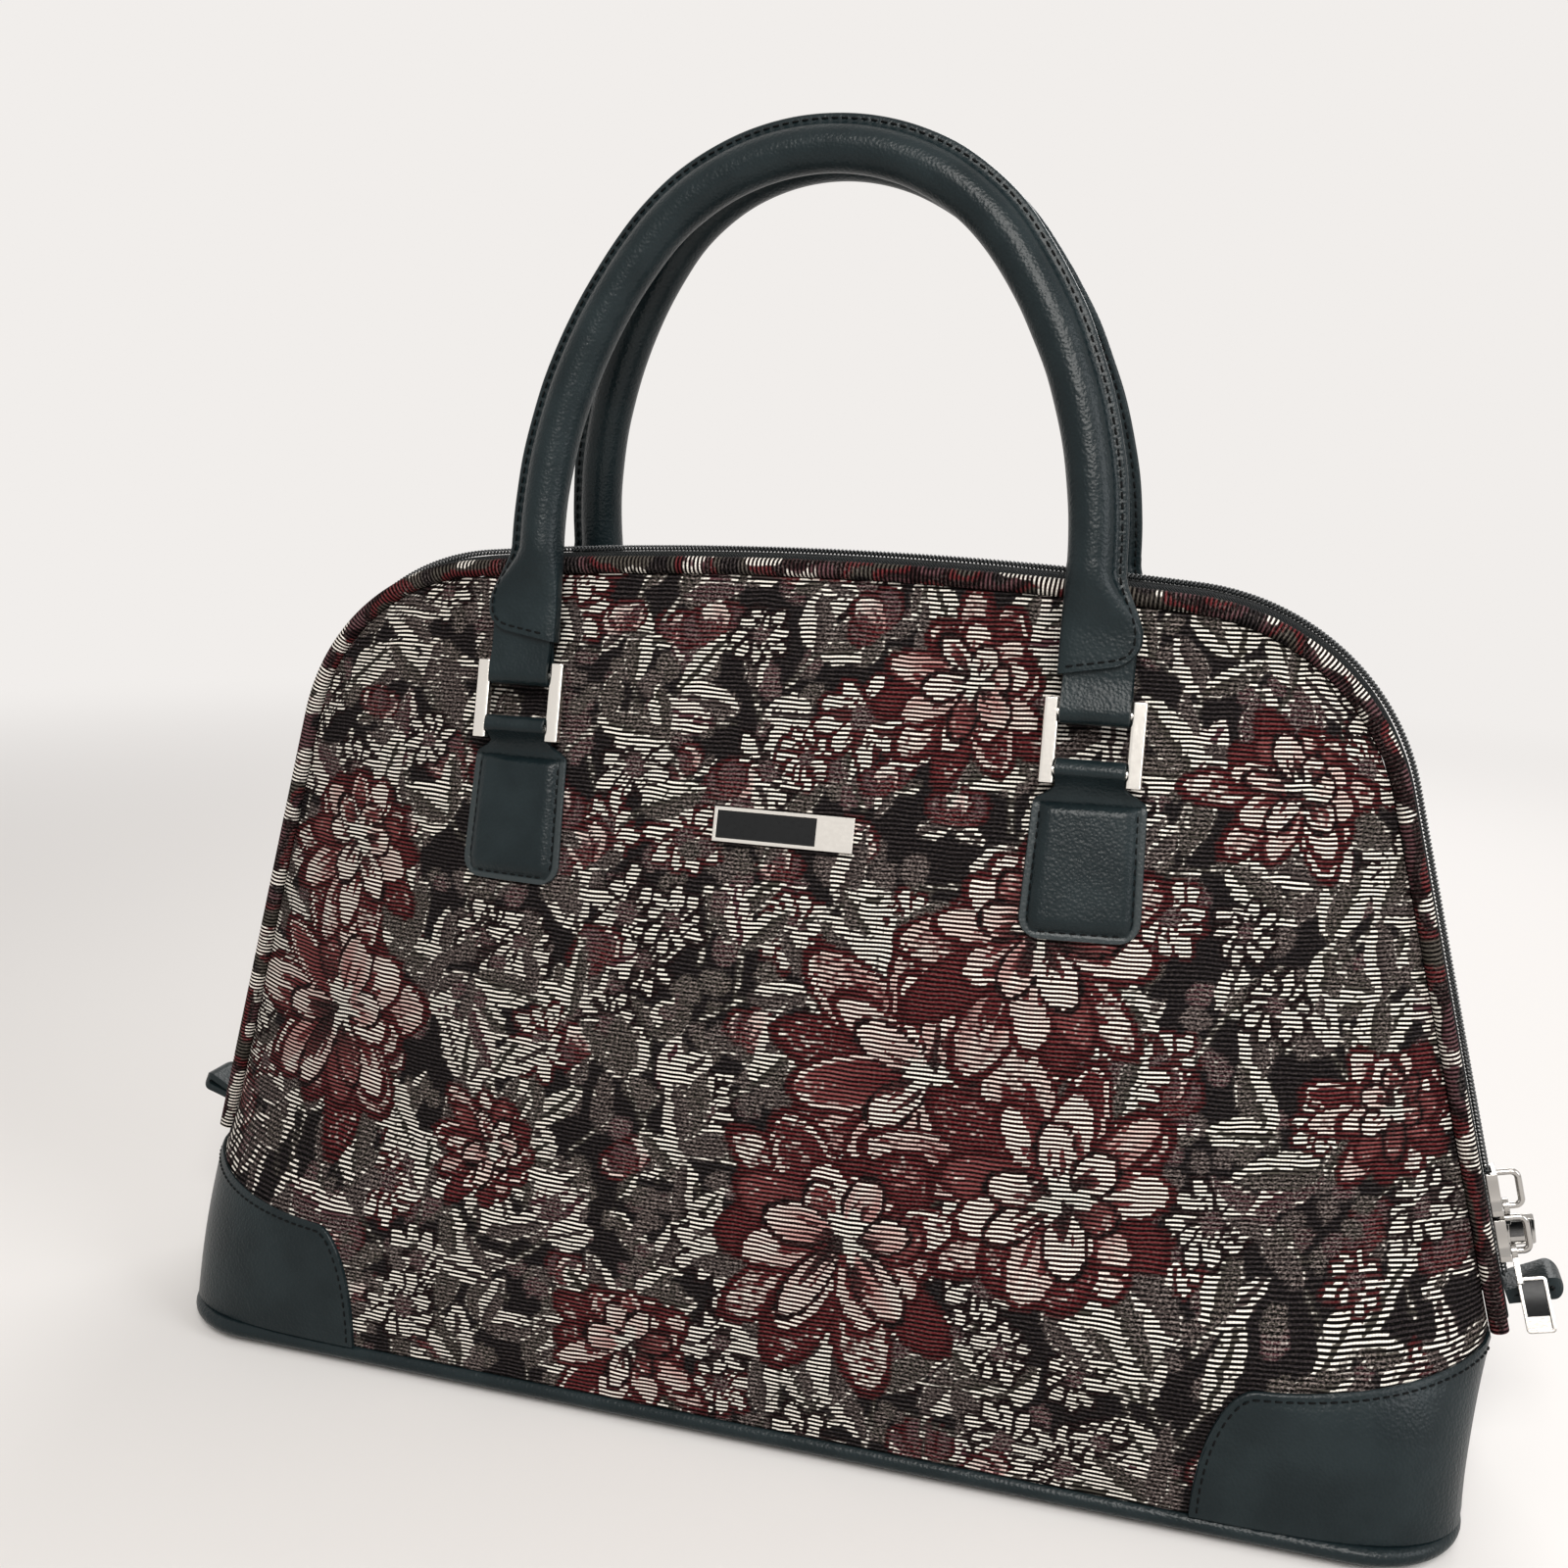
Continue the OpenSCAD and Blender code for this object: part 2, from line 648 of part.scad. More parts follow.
function neck_share(z) = clamp01((z - pad_top_z) / (ring_z - pad_top_z));
function pad_half(z) =
    let(h = z - pad_foot_z,
        corner = h < pad_corner ? pad_corner - sqrt(pad_corner * pad_corner - pow(pad_corner - h, 2)) : 0,
        side = mix(1, pad_taper_share, clamp01(h / pad_len)) * pad_w / 2)
    mix(side - corner, strap_w / 2, ease(clamp01((z - pad_top_z) / pad_flare_h)));
function pad_dome(u, z) =
    let(along = min(z - pad_foot_z, pad_top_z - z) / pad_len)
    ease(clamp01((1 - abs(u)) / pad_rim_share)) * ease(clamp01(along / pad_rim_share));
pad_zs = concat(
    [for (i = [0:pad_rows]) pad_foot_z + pad_len * (1 - cos(180 * i / pad_rows)) / 2],
    [for (i = [1:flare_rows]) pad_top_z + pad_flare_h * i / flare_rows],
    [ring_z]);
function pad_y(x, z, lift, end_y) = mix(-panel_y(x, z) - rest_gap - lift, end_y, neck_share(z));
function pad_grid(lift, dome, end_y) =
    [for (z = pad_zs)
        [for (j = [-pad_half_cols:pad_half_cols])
            let(u = sin(90 * j / pad_half_cols), x = ring_x + u * pad_half(z))
            [x, pad_y(x, z, lift, end_y) - dome * pad_dome(u, z), z]]];

module front_right_tab() {
    color(leather)
        difference() {
            union() {
                grid_solid(pad_grid(strap_t, pad_bulge, neck_front_y), pad_grid(0, 0, neck_back_y));
                tab_loop(loop_r, strap_w);
            }
            tab_loop(bar_r + pivot_gap, strap_w + 2 * overrun);
        }
}

module tab_loop(r, len) {
    translate([ring_x - len / 2, lower_bar_y, ring_z]) rotate([0, 90, 0]) cylinder(len, r = r);
}

module ring_at() {
    translate([ring_x, lower_bar_y, ring_z]) rotate([-ring_lean, 0, 0]) children();
}

module front_right_ring() {
    color(metal)
        ring_at() {
            for (z = [0, bar_pitch])
                translate([-ring_inner / 2 - ring_plate_w / 2, 0, z])
                    rotate([0, 90, 0]) cylinder(ring_inner + ring_plate_w, r = bar_r);
            for (side = [-1, 1])
                translate([side * (ring_inner + ring_plate_w) / 2, 0, (bar_pitch - ring_h) / 2])
                    linear_extrude(ring_h) round_rect(ring_plate_w, ring_plate_t, ring_plate_r);
        }
}

// Handles: a rolled tube with a sewn fin on its outer side, bent to a three-centred arch
// and flattened at both ends into a pocket that takes the loop strap
haunch_shares = [0.8, 0.6];
haunch_r = arch_r + (leg_x - arch_r) / (1 - haunch_shares[0]);
haunch_c = (haunch_r - arch_r) * haunch_shares;
arch_z = (apex_z - upper_bar_z) / cos(handle_lean) - arch_r;
leg_top_z = arch_z - haunch_c[1];
fin_reach = 4;
fin_half = 1.5;
flap_z = 13;
flap_slant = 4;
flap_corner = 6;
flap_h = 30;
flap_sink = 1;
flap_half_w = strap_w / 2 + strap_t;
flap_half_t = 2 * strap_t + 2 * seam_gap;
pocket_h = 12;
loop_taper_share = 2.6;
loop_half_t = strap_t;
pocket_w = strap_w + 2 * seam_gap;
pocket_t = 2 * (loop_half_t + seam_gap);
core_r = tube_r - strap_t;
leg_foot_z = flap_z + flap_h;

module handle_at() {
    translate([0, upper_bar_y, upper_bar_z]) rotate([-handle_lean, 0, 0]) children();
}

// Carries a profile up one leg, over the arch and down the other leg. The profile's x points out of the arch.
// The top and the haunches are rings cut where their radii meet
module handle_sweep() {
    leg = leg_top_z - leg_foot_z;
    reach = 2 * haunch_r;
    translate([0, 0, arch_z])
        rotate([90, 0, 0]) {
            intersection() {
                rotate_extrude($fn = arc_facets) translate([arch_r, 0]) children();
                linear_extrude(reach, center = true)
                    polygon([[0, 0], reach * haunch_shares, [0, reach], reach * flip_x(haunch_shares)]);
            }
            for (side = [0, 1])
                mirror([side, 0, 0]) {
                    intersection() {
                        translate(-haunch_c)
                            rotate_extrude($fn = arc_facets) translate([haunch_r, 0]) children();
                        linear_extrude(reach, center = true)
                            polygon([-haunch_c, [reach, -haunch_c[1]], reach * haunch_shares]);
                    }
                    translate([leg_x, -haunch_c[1], 0]) rotate([90, 0, 0]) linear_extrude(leg) children();
                }
        }
}

module front_right_loop() {
    tail_z = flap_z + pocket_h - seam_gap;
    taper_z = loop_taper_share * loop_r;
    color(leather)
        handle_at()
            translate([ring_x - strap_w / 2, 0, 0])
                rotate([90, 0, 90])
                    linear_extrude(strap_w)
                        difference() {
                            union() {
                                circle(loop_r);
                                polygon([
                                    [-loop_r, 0], [loop_r, 0], [loop_half_t, taper_z], [loop_half_t, tail_z],
                                    [-loop_half_t, tail_z], [-loop_half_t, taper_z]]);
                            }
                            circle(bar_r + pivot_gap);
                        }
}

// The flattened end of a leg, with a slanted lower edge that is round at the outer corner.
// It starts inside the leg, a little smaller than the tube
module handle_flap() {
    corner_x = ring_x + flap_half_w - flap_corner;
    top_r = tube_r - rest_gap;
    top_fin = fin_half - rest_gap;
    hull() {
        translate([leg_x, 0, leg_foot_z]) cylinder(flap_sink, r = top_r, $fn = 32);
        translate([leg_x, -top_fin, leg_foot_z]) cube([top_r + fin_reach, 2 * top_fin, flap_sink]);
        translate([ring_x - flap_half_w, -flap_half_t, flap_z])
            cube([flap_half_w, 2 * flap_half_t, pocket_h]);
        translate([corner_x, flap_half_t, flap_z + flap_slant + flap_corner])
            rotate([90, 0, 0]) cylinder(2 * flap_half_t, r = flap_corner, $fn = 32);
    }
}

module front_handle() {
    color(leather)
        handle_at()
            difference() {
                union() {
                    handle_sweep() {
                        circle(tube_r);
                        translate([0, -fin_half]) square([tube_r + fin_reach, 2 * fin_half]);
                    }
                    handle_flap();
                    to_left() handle_flap();
                }
                handle_sweep() circle(core_r);
                for (side = [-1, 1])
                    translate([side * ring_x - pocket_w / 2, -pocket_t / 2, flap_z - overrun])
                        cube([pocket_w, pocket_t, pocket_h + overrun]);
            }
}

module front_handle_core() {
    color(webbing) handle_at() handle_sweep() circle(core_r - seam_gap);
}

front_panel();
to_rear() front_panel();  // rear_panel
front_piping();
to_rear() front_piping();  // rear_piping
front_zip_tape();
to_rear() front_zip_tape();  // rear_zip_tape
front_zip_coil();
to_rear() front_zip_coil();  // rear_zip_coil
left_end_wrap();
right_end_wrap();
base_panel();
base_board();
base_piping();
foot(-1, -1);  // front_left_foot
foot(1, -1);  // front_right_foot
foot(-1, 1);  // rear_left_foot
foot(1, 1);  // rear_right_foot
to_left() right_zip_tab();  // left_zip_tab
right_zip_tab();
name_plate();
name_plate_inlay();
side_frame(lower_slider_up) slider();  // lower_slider
side_frame(lower_slider_up) pull(lower_swing);  // lower_pull
side_frame(upper_slider_up) slider();  // upper_slider
to_rear() side_frame(upper_slider_up) pull(upper_swing);  // upper_pull
to_left() front_right_tab();  // front_left_tab
front_right_tab();
to_rear() to_left() front_right_tab();  // rear_left_tab
to_rear() front_right_tab();  // rear_right_tab
to_left() front_right_ring();  // front_left_ring
front_right_ring();
to_rear() to_left() front_right_ring();  // rear_left_ring
to_rear() front_right_ring();  // rear_right_ring
to_left() front_right_loop();  // front_left_loop
front_right_loop();
to_rear() to_left() front_right_loop();  // rear_left_loop
to_rear() front_right_loop();  // rear_right_loop
front_handle();
to_rear() front_handle();  // rear_handle
front_handle_core();
to_rear() front_handle_core();  // rear_handle_core
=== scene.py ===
import math

import bpy
import numpy as np
from mathutils import Matrix, Vector


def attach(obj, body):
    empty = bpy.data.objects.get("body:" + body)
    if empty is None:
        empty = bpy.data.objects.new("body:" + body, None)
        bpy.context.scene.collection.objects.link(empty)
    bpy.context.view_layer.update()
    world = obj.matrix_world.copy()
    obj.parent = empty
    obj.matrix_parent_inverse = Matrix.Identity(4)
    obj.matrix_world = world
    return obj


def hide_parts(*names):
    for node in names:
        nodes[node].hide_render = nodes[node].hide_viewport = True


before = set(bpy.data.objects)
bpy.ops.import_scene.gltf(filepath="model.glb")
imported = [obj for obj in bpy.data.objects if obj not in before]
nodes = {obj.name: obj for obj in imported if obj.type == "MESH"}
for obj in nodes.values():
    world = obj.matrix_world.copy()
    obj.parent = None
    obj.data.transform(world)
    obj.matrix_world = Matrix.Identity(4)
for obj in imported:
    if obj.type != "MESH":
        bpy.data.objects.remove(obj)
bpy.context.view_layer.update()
print("stage: frame loaded")

# Shape of the bag in mm, as the CAD has it
bag = {
    "bodyH": 330, "baseW": 508, "baseD": 160, "baseR": 36, "endW": 540, "endZ": 66, "lean": 14.75,
    "shoulderR": 90, "crownR": 1600, "panelZ": 10, "inset": 8, "edgeY": 16.5, "bulge": 1.65,
    "baseSquare": 12, "baseRound": 2, "domeSquare": 2.6, "domeRound": 1.15, "fadeZ": 99, "flare": 1.6,
}
lean = math.radians(bag["lean"])
leanOut = np.array([math.cos(lean), math.sin(lean)])
leanUp = np.array([-math.sin(lean), math.cos(lean)])
endPoint = np.array([bag["endW"] / 2, bag["endZ"]])
crownCentre = np.array([0, bag["bodyH"] - bag["crownR"]])
shoulderFrom = endPoint - bag["shoulderR"] * leanOut - crownCentre
shoulderB = shoulderFrom @ leanUp
sideLen = -shoulderB + math.sqrt(
    shoulderB ** 2 - shoulderFrom @ shoulderFrom + (bag["crownR"] - bag["shoulderR"]) ** 2)
shoulderCentre = endPoint - bag["shoulderR"] * leanOut + sideLen * leanUp
crownAngle = math.atan2(shoulderCentre[1] - crownCentre[1], shoulderCentre[0] - crownCentre[0])


def clamp01(v):
    return np.clip(v, 0, 1)


def ease(k):
    k = clamp01(k)
    return k * k * (3 - 2 * k)


def mix(a, b, k):
    return a + (b - a) * k


# Half of the bag's width at a height: flared foot, leaning side, shoulder arc, then the crown's arc
def halfWidth(z, inset):
    low = mix(bag["baseW"] / 2, bag["endW"] / 2 - inset / math.cos(lean),
              clamp01((z - bag["panelZ"]) / (bag["endZ"] - bag["panelZ"])) ** bag["flare"])
    side = bag["endW"] / 2 - (z - bag["endZ"]) * math.tan(lean) - inset / math.cos(lean)
    shoulderR = bag["shoulderR"] - inset
    shoulder = shoulderCentre[0] + np.sqrt(np.maximum(0, shoulderR ** 2 - (z - shoulderCentre[1]) ** 2))
    crown = np.sqrt(np.maximum(0, (bag["crownR"] - inset) ** 2 - (z - crownCentre[1]) ** 2))
    sideTop = shoulderCentre[1] + shoulderR * math.sin(lean)
    shoulderTop = shoulderCentre[1] + shoulderR * math.sin(crownAngle)
    return np.select([z < bag["endZ"], z < sideTop, z < shoulderTop], [low, side, shoulder], crown)


# How far a panel stands out at x, z: full at the middle, down to the zip's edge at the sides and top
def panelDepth(x, z):
    edge = mix(bag["baseD"] / 2 - bag["baseR"], bag["edgeY"],
               clamp01((z - bag["panelZ"]) / (bag["endZ"] - bag["panelZ"])))
    rise = clamp01((z - bag["panelZ"]) / (bag["bodyH"] - bag["inset"] - bag["panelZ"]))
    centre = mix(bag["baseD"] / 2, bag["edgeY"], rise ** bag["bulge"])
    k = ease((z - bag["panelZ"]) / (bag["fadeZ"] - bag["panelZ"]))
    square = mix(bag["baseSquare"], bag["domeSquare"], k)
    roundness = mix(bag["baseRound"], bag["domeRound"], k)
    across = clamp01(np.abs(x) / np.maximum(halfWidth(z, bag["inset"]), 0.2))
    return mix(edge, centre, np.maximum(0, 1 - across ** square) ** (1 / roundness))


# Points along the zip edge from the right end to the left end, evenly spaced, with the way out of the bag
def zipPath(start, step):
    side = np.linspace(start, sideLen, 60)
    up = endPoint + side[:, None] * leanUp
    a = np.linspace(lean, crownAngle, 60)[1:]
    shoulder = shoulderCentre + bag["shoulderR"] * np.stack([np.cos(a), np.sin(a)], 1)
    b = np.linspace(crownAngle, math.pi / 2, 60)[1:]
    crown = crownCentre + bag["crownR"] * np.stack([np.cos(b), np.sin(b)], 1)
    half = np.concatenate([up, shoulder, crown])
    whole = np.concatenate([half, half[-2::-1] * [-1, 1]])
    return evenly(whole, step)


# A line's points at even steps along it, with its direction and the run so far
def evenly(points, step):
    run = np.concatenate([[0], np.cumsum(np.linalg.norm(np.diff(points, axis=0), axis=1))])
    s = np.linspace(0, run[-1], max(2, round(run[-1] / step) + 1))
    p = np.stack([np.interp(s, run, points[:, i]) for i in range(points.shape[1])], 1)
    t = np.gradient(p, s, axis=0)
    t /= np.linalg.norm(t, axis=1, keepdims=True)
    return p, t, s


# Value noise on a lattice, smooth, the same on every run
def noise2(x, y, seed):
    def lattice(i, j):
        h = np.sin(i * 127.1 + j * 311.7 + seed * 74.7) * 43758.5453
        return h - np.floor(h)
    i, j = np.floor(x), np.floor(y)
    u, v = ease(x - i), ease(y - j)
    low = mix(lattice(i, j), lattice(i + 1, j), u)
    high = mix(lattice(i, j + 1), lattice(i + 1, j + 1), u)
    return mix(low, high, v)


# Mesh helpers
def gridQuads(rows, cols, closeRows=False, closeCols=False):
    i = np.arange(rows if closeRows else rows - 1)
    j = np.arange(cols if closeCols else cols - 1)
    i, j = (a.ravel() for a in np.meshgrid(i, j, indexing="ij"))
    i2, j2 = (i + 1) % rows, (j + 1) % cols
    return np.stack([i * cols + j, i * cols + j2, i2 * cols + j2, i2 * cols + j], 1)


# Faces turned so that they look away from the middle of the bag, or out of a closed piece
def facingOut(points, quads):
    p = points - [0, 0, bag["bodyH"] / 2]
    a, b, c, d = (p[quads[:, n]] for n in range(4))
    volume = np.sum(a * (np.cross(b, c) + np.cross(c, d)))
    return quads if volume > 0 else quads[:, ::-1]


def makePiece(name, points, quads, material, body, slotName, uv=None, colours=None, sharp=None):
    mesh = bpy.data.meshes.new(name)
    points = np.asarray(points, float).reshape(-1, 3)
    mesh.from_pydata(points * 0.001, [], facingOut(points, np.asarray(quads)))
    mesh.validate()
    mesh.shade_smooth()
    if sharp:
        mesh.set_sharp_from_angle(angle=math.radians(sharp))
    if uv is not None:
        index = np.empty(len(mesh.loops), np.int32)
        mesh.loops.foreach_get("vertex_index", index)
        corners = uv.reshape(-1, 2)[index].astype(np.float32)
        mesh.uv_layers.new(name="weave").data.foreach_set("uv", corners.ravel())
    for key, value in (colours or {}).items():
        rgba = np.concatenate([value.reshape(-1, 3), np.ones((value.size // 3, 1))], 1)
        layer = mesh.attributes.new(key, "FLOAT_COLOR", "POINT")
        layer.data.foreach_set("color", rgba.astype(np.float32).ravel())
    mesh.materials.append(material)
    obj = bpy.data.objects.new(name, mesh)
    bpy.context.scene.collection.objects.link(obj)
    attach(obj, body)
    return obj


def joinParts(parts):
    points, quads, base = [], [], 0
    for p, q in parts:
        p = np.asarray(p, float).reshape(-1, 3)
        points.append(p)
        quads.append(np.asarray(q) + base)
        base += len(p)
    return np.concatenate(points), np.concatenate(quads)


def mirrored(part, x=1, y=1):
    p, q = part
    return np.asarray(p, float).reshape(-1, 3) * [x, y, 1], (q if x * y > 0 else np.asarray(q)[:, ::-1])


# A section of (out, front) points carried along a path in the x, z plane
def sweepFlat(path, out, section, closed=True):
    xz = path[:, None, :] + section[None, :, :1] * out[:, None, :]
    grid = np.stack([xz[..., 0], np.broadcast_to(-section[:, 1], xz.shape[:2]), xz[..., 1]], 2)
    return grid, gridQuads(len(path), len(section), closeCols=closed)


# Short rounded threads from one point to the next, raised in the middle
def threads(starts, ends, lifts, radius, sides=6):
    rings = np.array([0, 0.12, 0.5, 0.88, 1])
    fat = np.array([0.35, 0.9, 1, 0.9, 0.35]) * radius
    bow = np.array([-0.6, 0.35, 0.6, 0.35, -0.6]) * radius
    along = ends - starts
    along /= np.linalg.norm(along, axis=1, keepdims=True)
    lifts = lifts / np.linalg.norm(lifts, axis=1, keepdims=True)
    side = np.cross(along, lifts)
    a = np.linspace(0, 2 * math.pi, sides, endpoint=False)
    centre = starts[:, None] + rings[None, :, None] * (ends - starts)[:, None]
    centre = centre + bow[None, :, None] * lifts[:, None]
    ringPoint = np.cos(a)[:, None, None] * side[None] + np.sin(a)[:, None, None] * lifts[None]
    points = centre[:, :, None] + fat[None, :, None, None] * np.transpose(ringPoint, (1, 0, 2))[:, None]
    one = gridQuads(len(rings), sides, closeCols=True)
    count = len(rings) * sides
    quads = (one[None] + (np.arange(len(starts)) * count)[:, None, None]).reshape(-1, 4)
    return points.reshape(-1, 3), quads


# A row of stitches along a line, each one lifted off the surface
def stitchLine(line, lifts, length, gap, radius):
    p, _, s = evenly(line, 0.4)
    run = np.concatenate([[0], np.cumsum(np.linalg.norm(np.diff(line, axis=0), axis=1))])
    n = np.stack([np.interp(s, run, lifts[:, i]) for i in range(3)], 1)
    pitch = length + gap
    first = np.arange(gap / 2, s[-1] - length, pitch)
    at = lambda q, v: np.stack([np.interp(q, s, v[:, i]) for i in range(3)], 1)
    return threads(at(first, p), at(first + length, p), at(first + length / 2, n), radius)


# Node helpers
def add(tree, kind, inputs=None, **settings):
    made = tree.nodes.new(kind)
    for key, value in settings.items():
        setattr(made, key, value)
    for key, value in (inputs or {}).items():
        put(tree, made.inputs[key], value)
    return made


def put(tree, socket, value):
    if isinstance(value, bpy.types.NodeSocket):
        tree.links.new(value, socket)
    else:
        socket.default_value = value


def calc(tree, operation, *values, clamp=False):
    made = add(tree, "ShaderNodeMath", operation=operation, use_clamp=clamp)
    for i, value in enumerate(values):
        put(tree, made.inputs[i], value)
    return made.outputs[0]


def times(tree, a, b):
    return calc(tree, "MULTIPLY", a, b)


def smooth(tree, value, low, high):
    made = add(tree, "ShaderNodeMapRange", {"Value": value, "From Min": low, "From Max": high},
               interpolation_type="SMOOTHSTEP")
    return made.outputs["Result"]


def blend(tree, factor, a, b, how="MIX"):
    made = add(tree, "ShaderNodeMix", data_type="RGBA", blend_type=how)
    put(tree, made.inputs[0], factor)
    put(tree, made.inputs[6], a)
    put(tree, made.inputs[7], b)
    return made.outputs[2]


def objectPlace(tree):
    return add(tree, "ShaderNodeTexCoord").outputs["Object"]


def readAttribute(tree, name, output="Color"):
    return add(tree, "ShaderNodeAttribute", attribute_name=name).outputs[output]


def clouds(tree, place, scale, detail, distortion=0.0):
    made = add(tree, "ShaderNodeTexNoise", {
        "Vector": place, "Scale": scale, "Detail": detail, "Distortion": distortion})
    return made.outputs["Fac"]


def bumped(tree, height, strength):
    made = add(tree, "ShaderNodeBump", {"Height": height, "Strength": strength, "Distance": 0.0006})
    return made.outputs[0]


def newGroup(name, inputs, outputs):
    tree = bpy.data.node_groups.new(name, "ShaderNodeTree")
    for key, kind, value in inputs:
        made = tree.interface.new_socket(name=key, in_out="INPUT", socket_type=kind)
        if value is not None:
            made.default_value = value
    for key, kind in outputs:
        tree.interface.new_socket(name=key, in_out="OUTPUT", socket_type=kind)
    return tree, tree.nodes.new("NodeGroupInput").outputs, tree.nodes.new("NodeGroupOutput").inputs


def useGroup(tree, group, inputs):
    made = tree.nodes.new("ShaderNodeGroup")
    made.node_tree = group
    for key, value in inputs.items():
        put(tree, made.inputs[key], value)
    return made.outputs


def newMaterial(name, **sockets):
    material = bpy.data.materials.new(name)
    material.use_nodes = True
    tree = material.node_tree
    shader = tree.nodes["Principled BSDF"]
    for key, value in sockets.items():
        shader.inputs[key.replace("_", " ")].default_value = value
    return material, tree, shader


# Woven tapestry: ribs across, with pale weft showing where the pattern calls for it, and painted shade in the
# grooves between the ribs
weave = {"pitch": 1.6, "cream": (0.80, 0.75, 0.68, 1), "blush": (0.50, 0.27, 0.25, 1),
         "speck": (0.21, 0.172, 0.16, 1), "bump": 0.8}


def weaveGroup():
    tree, given, result = newGroup(
        "weaveThreads",
        [("UV", "NodeSocketVector", None), ("Tone", "NodeSocketColor", None)]
        + [(key, "NodeSocketFloat", 0.0) for key in ("Light", "Speck", "Blush")],
        [("Color", "NodeSocketColor"), ("Height", "NodeSocketFloat")])
    wobble = clouds(tree, given["UV"], 0.11, 1.0)
    part = add(tree, "ShaderNodeSeparateXYZ", {"Vector": given["UV"]}).outputs
    line = calc(tree, "ADD", part["Y"], times(tree, wobble, 1.2))
    row = calc(tree, "FLOOR", line)
    rib = times(tree, calc(tree, "PINGPONG", line, 0.5), 2.0)
    crest = smooth(tree, rib, 0.36, 0.72)
    ridge = smooth(tree, rib, 0.47, 0.70)
    # each line of weft gets its own breaks along its length
    place = add(tree, "ShaderNodeCombineXYZ", {"X": times(tree, part["X"], 0.42), "Y": times(tree, row, 3.7)})
    breaks = clouds(tree, place.outputs[0], 1.0, 2.0)
    stray = times(tree, calc(tree, "SUBTRACT", breaks, 0.5), 0.9)
    shown = smooth(tree, calc(tree, "ADD", given["Light"], stray), 0.36, 0.56)
    warp = add(tree, "ShaderNodeTexWave", {"Vector": given["UV"], "Scale": 0.42, "Distortion": 0.6},
               bands_direction="X")
    dash = times(tree, shown, ridge)
    dash = times(tree, dash, calc(tree, "MULTIPLY_ADD", warp.outputs["Fac"], 0.28, 0.78))
    # specks sit on the ribs; painted shade darkens the tone from the crests down into the grooves
    grainPlace = add(tree, "ShaderNodeVectorMath", {0: given["UV"], 1: (1.5, 2.3, 1.0)}, operation="MULTIPLY")
    grain = clouds(tree, grainPlace.outputs[0], 1.0, 1.0)
    speck = times(tree, smooth(tree, grain, 0.46, 0.62), given["Speck"])
    speck = times(tree, speck, calc(tree, "MULTIPLY_ADD", crest, 0.72, 0.28))
    shade = calc(tree, "MULTIPLY_ADD", crest, 1.35, 0.04)
    shade = times(tree, shade, calc(tree, "MULTIPLY_ADD", grain, 0.7, 0.65))
    dim = add(tree, "ShaderNodeVectorMath", {0: given["Tone"], "Scale": shade}, operation="SCALE")
    colour = blend(tree, speck, dim.outputs[0], weave["speck"])
    weft = blend(tree, given["Blush"], weave["cream"], weave["blush"])
    put(tree, result["Color"], blend(tree, dash, colour, weft))
    put(tree, result["Height"], calc(tree, "ADD", times(tree, crest, 0.7), times(tree, dash, 0.4)))
    return tree


def tapestryMaterial(name):
    material, tree, shader = newMaterial(name, Roughness=0.75, Specular_IOR_Level=0.03)
    uv = add(tree, "ShaderNodeUVMap", uv_map="weave").outputs[0]
    masks = add(tree, "ShaderNodeSeparateColor", {"Color": readAttribute(tree, "masks")}).outputs
    made = useGroup(tree, weaveThreads, {
        "UV": uv, "Tone": readAttribute(tree, "tone"),
        "Light": masks["Red"], "Speck": masks["Green"], "Blush": masks["Blue"]})
    put(tree, shader.inputs["Base Color"], made["Color"])
    put(tree, shader.inputs["Normal"], bumped(tree, made["Height"], weave["bump"]))
    return material


# Leather-look vinyl: fine pebble grain and soft creases, with a painted highlight: a paler colour on the flat
# rim outside a seam
hide = {"colour": (0.0044, 0.0090, 0.0106, 1), "worn": (0.0080, 0.0142, 0.0162, 1),
        "border": (0.026, 0.033, 0.035, 1), "grain": 950.0, "rough": 0.34, "bump": 0.3}


def grainGroup():
    tree, given, result = newGroup(
        "hideGrain", [("Scale", "NodeSocketFloat", hide["grain"]), ("RimHighlight", "NodeSocketFloat", 0.0)],
        [("Color", "NodeSocketColor"), ("Roughness", "NodeSocketFloat"), ("Normal", "NodeSocketVector")])
    place = objectPlace(tree)
    pebble = add(tree, "ShaderNodeTexVoronoi", {"Vector": place, "Scale": given["Scale"]},
                 feature="SMOOTH_F1")
    cloud = clouds(tree, place, 45.0, 3.0)
    crease = clouds(tree, place, 260.0, 4.0, 0.6)
    height = calc(tree, "ADD", pebble.outputs["Distance"], times(tree, crease, 0.5))
    colour = blend(tree, smooth(tree, cloud, 0.35, 0.7), hide["colour"], hide["worn"])
    # painted highlight: the rim mask blends the colour towards the pale border colour
    put(tree, result["Color"], blend(tree, given["RimHighlight"], colour, hide["border"]))
    put(tree, result["Roughness"], calc(tree, "MULTIPLY_ADD", cloud, 0.16, hide["rough"] - 0.08))
    put(tree, result["Normal"], bumped(tree, height, hide["bump"]))
    return tree


def hideMaterial(name):
    material, tree, shader = newMaterial(name, Specular_IOR_Level=0.2)
    made = useGroup(tree, hideGrain, {"Scale": hide["grain"], "RimHighlight": readAttribute(tree, "border", "Fac")})
    put(tree, shader.inputs["Base Color"], made["Color"])
    put(tree, shader.inputs["Roughness"], made["Roughness"])
    put(tree, shader.inputs["Normal"], made["Normal"])
    return material


# Polished metal, with the edges eased by the shading normal
def metalMaterial(name, colour, rough, edge):
    material, tree, shader = newMaterial(name, Base_Color=colour, Metallic=1.0, Roughness=rough)
    scuff = clouds(tree, objectPlace(tree), 900.0, 3.0)
    put(tree, shader.inputs["Roughness"], calc(tree, "MULTIPLY_ADD", scuff, 0.18, rough - 0.09))
    put(tree, shader.inputs["Normal"], add(tree, "ShaderNodeBevel", {"Radius": edge}, samples=6).outputs[0])
    return material
